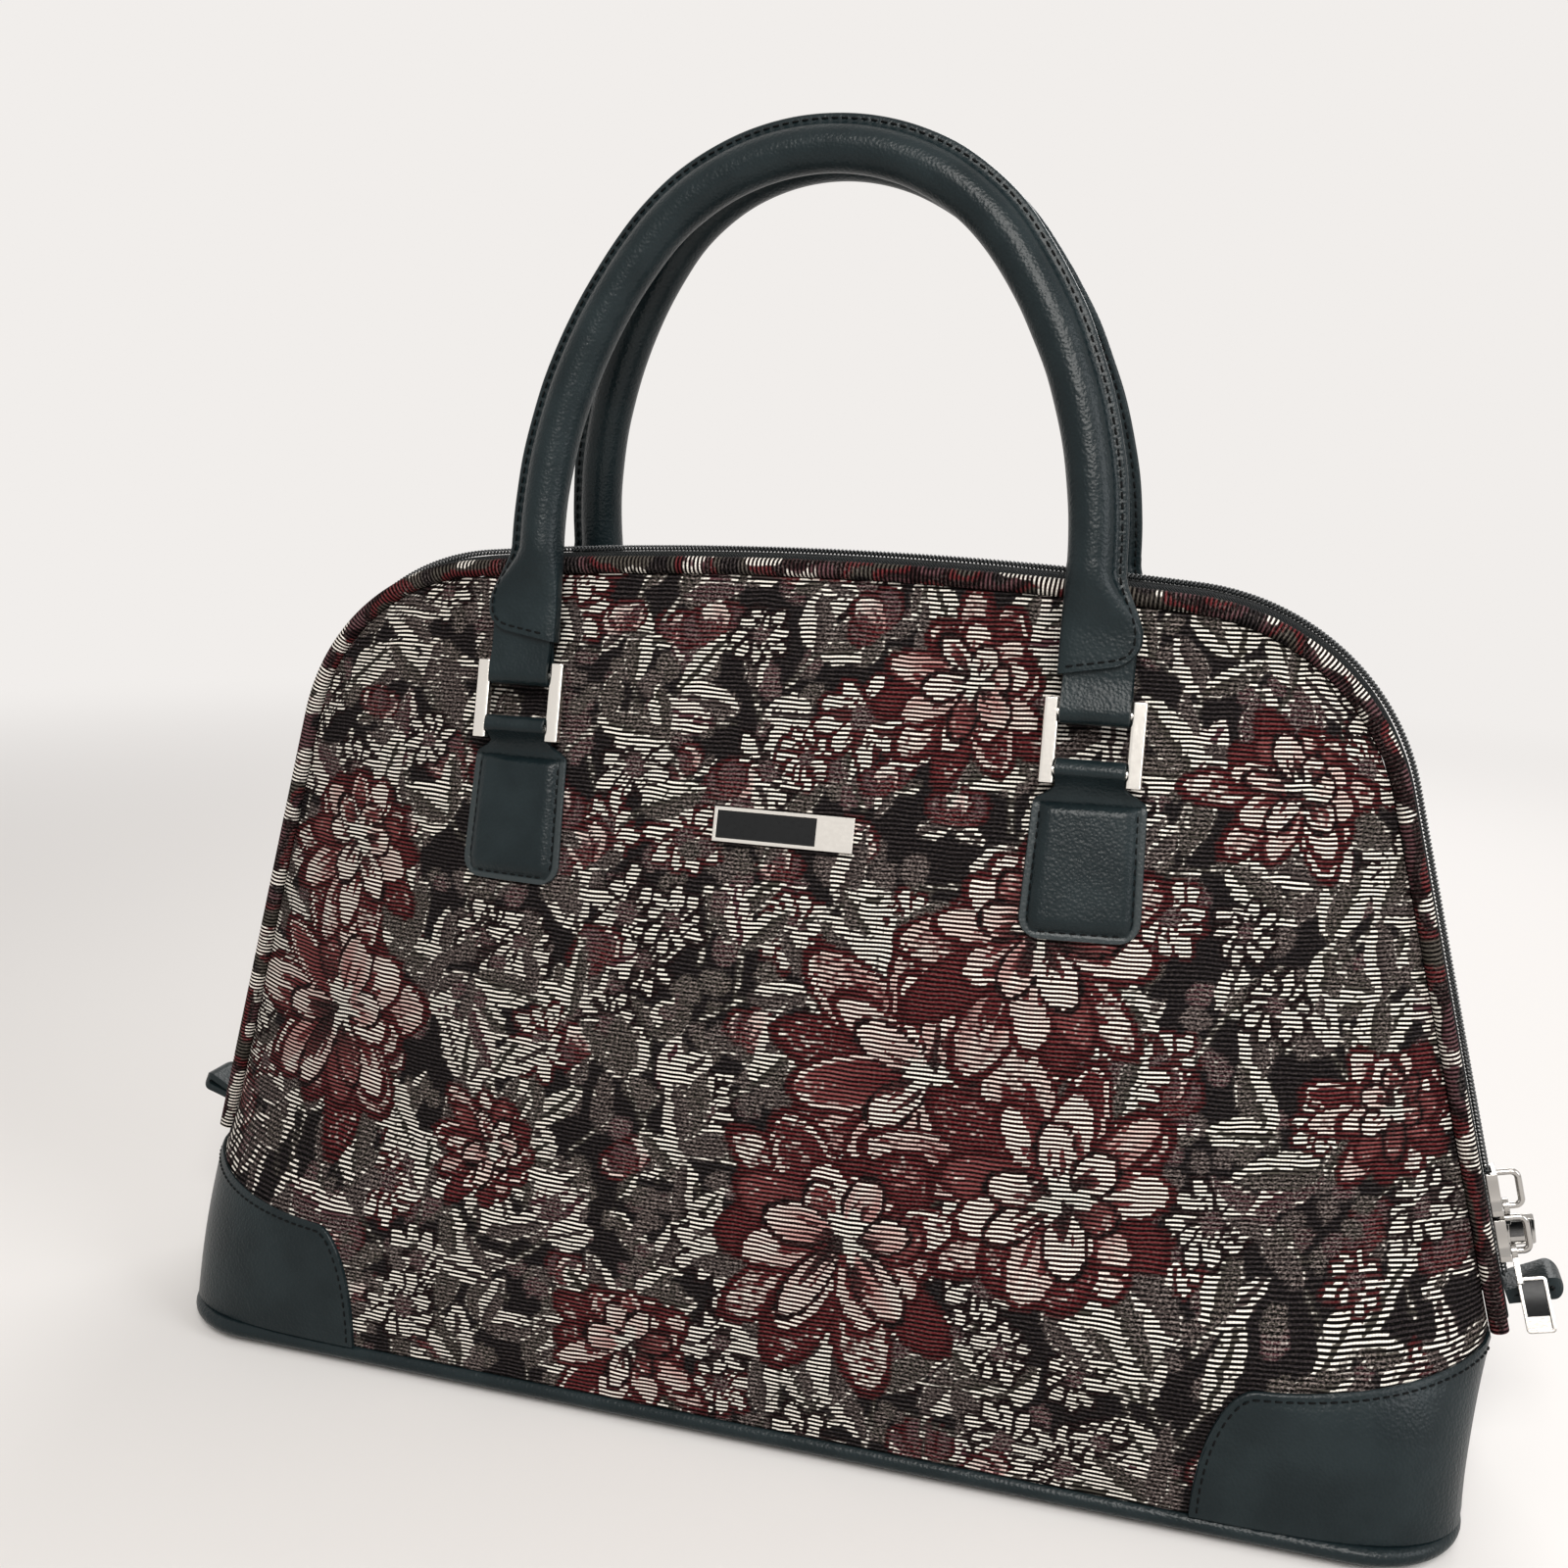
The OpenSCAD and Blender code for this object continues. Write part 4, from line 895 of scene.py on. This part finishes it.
# Half of a tab's width at a height: round corners at the foot, a slight taper, then in to the strap
def padHalf(z):
    h = z - padFoot
    radius = pad["corner"]
    corner = np.where(h < radius, radius - np.sqrt(np.maximum(0, radius ** 2 - (radius - h) ** 2)), 0)
    side = mix(1, pad["taper"], clamp01(h / (pad["topZ"] - padFoot))) * pad["width"] / 2
    return mix(side - corner, gear["strapHalf"], ease((z - pad["topZ"]) / pad["flare"]))


# A strap's middle sheet runs up the panel, over the bar and down behind, and the pad swells on its front
def tabParts():
    half = gear["strapT"] / 2
    lying = lambda x, z: -panelDepth(x, z) - gear["bodyGap"] - half
    u = np.sin(np.linspace(-1, 1, pad["cols"]) * math.pi / 2)[None]
    corner = padFoot + pad["corner"] * np.linspace(0.02, 1, 16) ** 1.8
    rise = np.concatenate([corner, np.linspace(padFoot + 8.6, gear["ringZ"], pad["rows"])])[:, None]
    x = gear["ringX"] + u * padHalf(rise)
    share = clamp01((rise - pad["topZ"]) / (gear["ringZ"] - pad["topZ"]))
    y = mix(lying(x, rise + 0 * x), gear["barY"] - loopMid, ease(share * 0.5) * 2)
    lower = np.stack([x, y, rise + 0 * x], 2)
    strapX = gear["ringX"] + u * gear["strapHalf"]
    a = np.linspace(0, math.pi, 18)[1:, None]
    over = np.stack([strapX + 0 * a, gear["barY"] - loopMid * np.cos(a) + 0 * u,
                     gear["ringZ"] + loopMid * np.sin(a) + 0 * u], 2)
    k = np.linspace(0, 1, 8)[1:, None]
    x, z = strapX + 0 * k, gear["ringZ"] - pad["tail"] * k + 0 * u
    back = np.stack([x, mix(gear["barY"] + loopMid, lying(x, z), ease(k)), z], 2)
    middle = np.concatenate([lower, over, back])
    # the pad swells inside the seam and up to the crease, softly at its corners
    sideIn = (1 - np.abs(u)) * padHalf(rise)
    swell = lambda d, soft: np.sin(clamp01(d / soft) * math.pi / 2) ** 0.8
    puff = pad["puff"] * swell(sideIn - pad["border"], pad["soft"])
    puff = puff * swell(rise - padFoot - pad["border"], pad["soft"])
    puff = puff * swell(pad["topZ"] - rise, 3.5)
    seam = np.minimum(sideIn, rise - padFoot)
    puff -= pad["groove"] * np.exp(-((seam - pad["border"]) / 0.6) ** 2) * (rise < pad["topZ"])
    puff -= pad["crease"] * np.exp(-((rise - pad["topZ"]) / 0.6) ** 2)
    front = np.full(middle.shape[:2], half)
    front[:len(rise)] += puff
    return strapSolid(middle, front, np.full(front.shape, half))


# The flat rim outside the seam: a painted highlight, paler than the pad where the flat rim catches the light
def tabRimHighlight(grid):
    x, z = np.abs(grid[..., 0] - gear["ringX"]), grid[..., 2]
    inward = np.minimum(padHalf(z) - x, z - padFoot)
    rim = ease((pad["border"] - 0.2 - inward) / 0.6) * (z < pad["topZ"])
    return np.repeat(rim[..., None], 3, 2)


def tabStitches():
    z = np.linspace(pad["topZ"] - 2.5, padFoot + pad["corner"], 40)
    left = np.stack([-(padHalf(z) - pad["border"]), z], 1)
    a = np.linspace(math.pi, 1.5 * math.pi, 14)
    r = pad["corner"] - pad["border"]
    mid = np.array([-(pad["width"] / 2 - pad["corner"] - 0.4), padFoot + pad["corner"]])
    turn = mid + r * np.stack([np.cos(a), np.sin(a)], 1)
    half = np.concatenate([left, turn])
    line = np.concatenate([half, half[::-1] * [-1, 1]])
    x, z = gear["ringX"] + line[:, 0], line[:, 1]
    p = np.stack([x, -panelDepth(x, z) - gear["bodyGap"] - gear["strapT"] + 0.35, z], 1)
    slope = panelDepth(x, z + 0.5) - panelDepth(x, z - 0.5)
    n = np.stack([np.zeros(len(x)), -np.ones(len(x)), -slope], 1)
    return stitchLine(p, n, **stitch)


for fore, y in (("front", 1), ("rear", -1)):
    for side, x in (("right", 1), ("left", -1)):
        part, name = tabParts(), fore + side.title() + "Tab"
        # the border colour attribute carries the painted highlight on each tab's flat rim
        obj = makePiece(name, *mirrored(part, x, y), leather, "bag", "leather",
                        colours={"border": tabRimHighlight(part[0])}, sharp=70)
        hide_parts(f"{fore}_{side}_tab")
        makePiece(name + "Stitches", *mirrored(tabStitches(), x, y), threadBlack, "bag", "leather")
print("stage: tabs")


# Handle frame: x across, w to the rear of the handle's plane, z up along it
def handleToWorld(p):
    c, s = math.cos(handleLean), math.sin(handleLean)
    x, w, z = p[..., 0], p[..., 1], p[..., 2]
    return np.stack([x, w * c + z * s + gear["upperY"], z * c - w * s + gear["upperZ"]], -1)


# A line with its corners cut, again and again
def rounded(points, cuts):
    for _ in range(cuts):
        a, b = points[:-1], points[1:]
        inner = np.stack([mix(a, b, 0.25), mix(a, b, 0.75)], 1).reshape(-1, points.shape[1])
        points = np.concatenate([points[:1], inner[1:-1], points[-1:]])
    return points


# Loops: a folded strap round the ring's upper bar, with both ends up in the handle
loop = {"tail": 24.5, "taper": 10.9, "cols": 14, "thin": 0.97}


def loopParts():
    half = gear["strapT"] / 2
    a = np.linspace(math.pi, 2 * math.pi, 20)
    bend = loopMid * np.stack([np.cos(a), np.sin(a)], 1)
    arm = np.array([
        [-half, loop["tail"]], [-half, loop["taper"] + 4], [-half, loop["taper"]], [-loopMid, 1.0]])
    line = evenly(rounded(np.concatenate([arm, bend, arm[::-1] * [-1, 1]]), 2), 0.8)[0]
    u = np.linspace(-1, 1, loop["cols"])[None]
    x = gear["ringX"] + u * gear["strapHalf"] + 0 * line[:, :1]
    middle = handleToWorld(np.stack([x, line[:, :1] + 0 * u, line[:, 1:] + 0 * u], 2))
    thick = np.full(middle.shape[:2], half * loop["thin"])
    return strapSolid(middle, thick, thick)


# Handle: a stuffed tube with a stitched fin round the outside, flattened at both ends over the loop straps
grip = {
    "tube": 8.5, "arch": 84.5, "legX": 104.5, "archZ": 112.45,
    "haunch": (80, 60), "haunchR": 184.5, "haunchAngle": 36.8699,
    "finReach": 4, "finHalf": 1.45, "flatFrom": 50, "flatTo": 27,
    "flapHalf": 14.2, "flapThick": 4.3, "flapPower": 0.42, "flapZ": 13, "slant": 5,
    "corner": 9, "seam": 2.2, "ripple": 0.12,
}


# The arch from leg to leg: a wide arc at each haunch and a tighter one over the top
def gripPath(step):
    a = np.radians(np.linspace(0, grip["haunchAngle"], 60))
    haunch = -np.array(grip["haunch"]) + grip["haunchR"] * np.stack([np.cos(a), np.sin(a)], 1)
    b = np.radians(np.linspace(grip["haunchAngle"], 90, 80)[1:])
    top = grip["arch"] * np.stack([np.cos(b), np.sin(b)], 1)
    half = np.concatenate([haunch, top])
    whole = np.concatenate([half, half[-2::-1] * [-1, 1]]) + [0, grip["archZ"]]
    return evenly(whole, step)


# Two sections with the same points: the tube with its fin, and the flat end as a squared oval
def gripSection():
    r, f, tip = grip["tube"], grip["finHalf"], grip["tube"] + grip["finReach"]
    fin = np.array([[tip, 0], [tip - 0.2, 0.55 * f], [tip - 0.7, 0.9 * f], [tip - 1.8, f], [r + 0.9, f]])
    a = np.radians(np.linspace(15, 345, 45))
    tube = r * np.stack([np.cos(a), np.sin(a)], 1)
    section = np.concatenate([fin, tube, fin[:0:-1] * [1, -1]])
    angle = np.radians(np.concatenate([[0, 3, 6, 9, 12], np.linspace(15, 345, 45), [348, 351, 354, 357]]))
    turn = np.stack([np.cos(angle), np.sin(angle)], 1)
    squared = np.sign(turn) * np.abs(turn) ** grip["flapPower"]
    return section, squared * [grip["flapHalf"], grip["flapThick"]]


# Height of the flat end's lower edge: slanted, and round at the outer corner
def flapEdge(o):
    slope = grip["flapZ"] + grip["slant"] * (o + grip["flapHalf"]) / (2 * grip["flapHalf"])
    over = np.clip(o - (grip["flapHalf"] - grip["corner"]), 0, grip["corner"] - 0.05)
    return slope + grip["corner"] - np.sqrt(grip["corner"] ** 2 - over ** 2)


# Rings down a leg: tube, then a blend to the flat end, then the end tucked in under itself
def legRings():
    section, flap = gripSection()
    legTop = grip["archZ"] - grip["haunch"][1]
    heights = np.concatenate([np.linspace(legTop, grip["flatTo"], 26)[1:], np.linspace(1, 0, 10)[1:]])
    rings = []
    for h in heights:
        flat = h <= 1
        k = 1.0 if flat else float(ease((grip["flatFrom"] - h) / (grip["flatFrom"] - grip["flatTo"])))
        shape = mix(section, flap, k)
        z = mix(flapEdge(shape[:, 0]), grip["flatTo"], h) if flat else np.full(len(shape), h)
        rings.append(np.stack([mix(grip["legX"], gear["ringX"], k) + shape[:, 0], shape[:, 1], z], 1))
    last = rings[-1]
    rings.append(last * [1, 0.62, 1] + [0, 0, 0.25])
    rings.append(last * [1, 0.52, 1] + [0, 0, 5])
    return np.array(rings)


def gripParts():
    path, along, s = gripPath(2.0)
    out = pathOut(along)
    section = gripSection()[0]
    swell = 1 + grip["ripple"] / grip["tube"] * (2 * noise2(s / 14, s * 0, 6) - 1)
    size = section[None] * swell[:, None, None]
    xz = path[:, None] + size[..., :1] * out[:, None]
    arch = np.stack([xz[..., 0], size[..., 1] + 0 * xz[..., 0], xz[..., 1]], 2)
    leg = legRings()
    grid = handleToWorld(np.concatenate([leg[::-1], arch, leg * [-1, 1, 1]]))
    return grid, gridQuads(*grid.shape[:2], closeCols=True)


# Stitches on both faces of the fin, down the legs and round each flat end
def gripStitches():
    path, along, _ = gripPath(2.0)
    o = grip["tube"] + grip["finReach"] - grip["seam"]
    arch = path + o * pathOut(along)
    leg = legRings()
    tip = leg[:-3, 0][:, [0, 2]] - [grip["seam"], 0]
    tip = tip[tip[:, 1] > grip["flapZ"] + grip["slant"] + grip["corner"] + 1]
    across = np.linspace(grip["flapHalf"] - grip["corner"], -grip["flapHalf"] + 2.5, 16)
    cornerZ = flapEdge(np.array(0.0)) + grip["corner"] + 1.2
    corner = np.array([gear["ringX"] + grip["flapHalf"] - grip["corner"], cornerZ])
    a = np.linspace(0, -math.pi / 2, 12)[1:-1]
    turn = corner + (grip["corner"] - grip["seam"]) * np.stack([np.cos(a), np.sin(a)], 1)
    low = np.stack([gear["ringX"] + across, flapEdge(across) + grip["seam"]], 1)
    right = np.concatenate([tip, turn, low])
    line = np.concatenate([right[::-1], arch, right * [-1, 1]])
    k = ease((grip["flatFrom"] - line[:, 1]) / (grip["flatFrom"] - grip["flatTo"]))
    parts = []
    for face in (-1, 1):
        w = face * (mix(grip["finHalf"], grip["flapThick"], k) + 0.02)
        p = handleToWorld(np.stack([line[:, 0], w, line[:, 1]], 1))
        parts.append(stitchLine(p, np.tile([0.0, face, 0.0], (len(p), 1)), **stitch))
    return joinParts(parts)


for fore, y in (("front", 1), ("rear", -1)):
    body = fore + "_handle"
    obj = makePiece(fore + "Grip", *mirrored(gripParts(), y=y), leather, body, "leather", sharp=48)
    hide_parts(body)
    makePiece(fore + "GripStitches", *mirrored(gripStitches(), y=y), threadBlack, body, "leather")
    for side, x in (("right", 1), ("left", -1)):
        name = fore + side.title() + "Loop"
        obj = makePiece(name, *mirrored(loopParts(), x, y), leather, body, "leather", sharp=60)
        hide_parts(f"{fore}_{side}_loop")
print("stage: handles")

# Pull inlays: black enamel in the recess of each pull, above a polished band
pullPlate = {"pivotOut": 4.6, "postBelow": 6.5, "length": 29, "from": 9.5, "width": 10, "frame": 1.2,
             "floor": 0.6, "fill": 0.85, "band": 4.6, "clear": 0.05}


# From the right end's own frame, out, up along the zip and front, to the bag's
def sideToWorld(p, up):
    xz = endPoint + up * leanUp + p[..., :1] * leanOut + p[..., 1:2] * leanUp
    return np.stack([xz[..., 0], -p[..., 2], xz[..., 1]], -1)


# A shallow raised plate on each face of a pull, turned with it about its pivot
def inlayParts(up, swing):
    parts = []
    rim = pullPlate["frame"] + pullPlate["clear"]
    lo = np.array([rim, -pullPlate["length"] + pullPlate["frame"] + pullPlate["band"]])
    hi = np.array([pullPlate["width"] - rim, -pullPlate["from"] - rim])
    turn = math.radians(-swing)
    c, s = math.cos(turn), math.sin(turn)
    for face in (-1, 1):
        z0, z1 = face * pullPlate["floor"], face * pullPlate["fill"]
        ring = np.array([[lo[0], lo[1]], [hi[0], lo[1]], [hi[0], hi[1]], [lo[0], hi[1]]])
        soft = mix(ring, ring.mean(0), 0.04)
        steps = ((ring, z0), (ring, mix(z0, z1, 0.6)), (soft, z1))
        p = np.array([np.column_stack([q, np.full(4, z)]) for q, z in steps])
        x, y, z = p[..., 0], p[..., 1], p[..., 2]
        p = np.stack([x + pullPlate["pivotOut"], y * c - z * s - pullPlate["postBelow"], y * s + z * c], 2)
        quads = np.concatenate([gridQuads(3, 4, closeCols=True), [[8, 9, 10, 11]]])
        parts.append((sideToWorld(p, up), quads))
    return joinParts(parts)


makePiece("lowerPullInlay", *inlayParts(28.4, 28), enamel, "lower_pull", "enamel", sharp=30)
makePiece("upperPullInlay", *mirrored(inlayParts(46, 38), y=-1), enamel, "upper_pull", "enamel", sharp=30)

# The remaining CAD pieces keep their own meshes
dress = {
    leather: ["base_panel", "base_piping", "left_zip_tab", "right_zip_tab"],
    metal: ["name_plate", "front_left_ring", "front_right_ring", "rear_left_ring", "rear_right_ring"],
    chrome: ["lower_slider", "lower_pull", "upper_slider", "upper_pull"],
    enamel: ["name_plate_inlay"],
    footPlastic: ["front_left_foot", "front_right_foot", "rear_left_foot", "rear_right_foot"],
    cutEdge: ["base_board", "front_handle_core", "rear_handle_core"],
}
for material, names in dress.items():
    for n in names:
        nodes[n].data.materials.clear()
        nodes[n].data.materials.append(material)
print("stage: hardware")

# Camera, light and floor
shot = {"place": (0.1676, -0.6102, 0.3644), "ahead": (-0.2793, 0.9406, -0.1931),
        "up": (-0.0817, 0.1771, 0.9808), "lens": 37.56}
lamps = {  # place, aim, size, power, colour
    "keyLight": ((0.45, -1.5, 1.5), (0, 0, 0.22), (1.1, 0.9), 44, (1.0, 0.98, 0.95)),
    "sideLight": ((1.7, -0.5, 1.0), (0, 0, 0.2), (0.8, 1.2), 14, (0.95, 0.97, 1.0)),
    "rearLight": ((0.2, 1.7, 1.3), (0, 0, 0.3), (1.4, 0.9), 20, (1.0, 1.0, 1.0)),
}


def addLight(name, place, aim, size, power, colour):
    data = bpy.data.lights.new(name, "AREA")
    data.shape = "RECTANGLE"
    data.size, data.size_y = size
    data.energy = power
    data.color = colour
    obj = bpy.data.objects.new(name, data)
    bpy.context.scene.collection.objects.link(obj)
    obj.location = place
    obj.rotation_mode = "QUATERNION"
    obj.rotation_quaternion = (Vector(aim) - Vector(place)).to_track_quat("-Z", "Y")


# The pale room is a plain white to the eye and in reflections, and a soft fill for the rest
room = {"colour": (1.0, 0.97, 0.945, 1), "seen": 0.88, "ambient": 0.36, "floor": (0.72, 0.70, 0.685, 1),
        "near": 0.7, "far": 2.2, "size": 9}


def seenRays(tree):
    path = tree.nodes.new("ShaderNodeLightPath").outputs
    seen = calc(tree, "MAXIMUM", path["Is Camera Ray"], path["Is Glossy Ray"])
    return calc(tree, "MAXIMUM", seen, path["Is Transmission Ray"])


def floorMaterial():
    material, tree, shader = newMaterial("paleFloor", Base_Color=room["floor"], Roughness=0.8)
    place = objectPlace(tree)
    far = add(tree, "ShaderNodeVectorMath", {0: place}, operation="LENGTH").outputs["Value"]
    fade = times(tree, smooth(tree, far, room["near"], room["far"]), seenRays(tree))
    glow = add(tree, "ShaderNodeEmission", {"Color": room["colour"], "Strength": room["seen"]})
    both = add(tree, "ShaderNodeMixShader", {0: fade, 1: shader.outputs[0], 2: glow.outputs[0]})
    put(tree, tree.nodes["Material Output"].inputs["Surface"], both.outputs[0])
    return material


def addStage():
    scene = bpy.context.scene
    ahead, up = Vector(shot["ahead"]).normalized(), Vector(shot["up"])
    right = ahead.cross(up).normalized()
    up = right.cross(ahead)
    data = bpy.data.cameras.new("photoCamera")
    data.lens, data.sensor_width = shot["lens"], 36
    data.clip_start, data.clip_end = 0.02, 100
    camera = bpy.data.objects.new("photoCamera", data)
    scene.collection.objects.link(camera)
    turn = Matrix((right, up, -ahead)).transposed().to_4x4()
    camera.matrix_world = Matrix.Translation(shot["place"]) @ turn
    scene.camera = camera
    mesh = bpy.data.meshes.new("floor")
    r = room["size"]
    mesh.from_pydata([(-r, -r, 0), (r, -r, 0), (r, r, 0), (-r, r, 0)], [], [(0, 1, 2, 3)])
    mesh.materials.append(floorMaterial())
    floor = bpy.data.objects.new("floor", mesh)
    scene.collection.objects.link(floor)
    for name, settings in lamps.items():
        addLight(name, *settings)
    world = bpy.data.worlds.new("paleRoom")
    world.use_nodes = True
    back = world.node_tree.nodes["Background"]
    back.inputs["Color"].default_value = room["colour"]
    tree = world.node_tree
    strength = calc(tree, "MULTIPLY_ADD", seenRays(tree), room["seen"] - room["ambient"], room["ambient"])
    put(tree, back.inputs["Strength"], strength)
    scene.world = world
    scene.view_settings.view_transform = "Standard"


addStage()
print("stage: camera, light and floor")
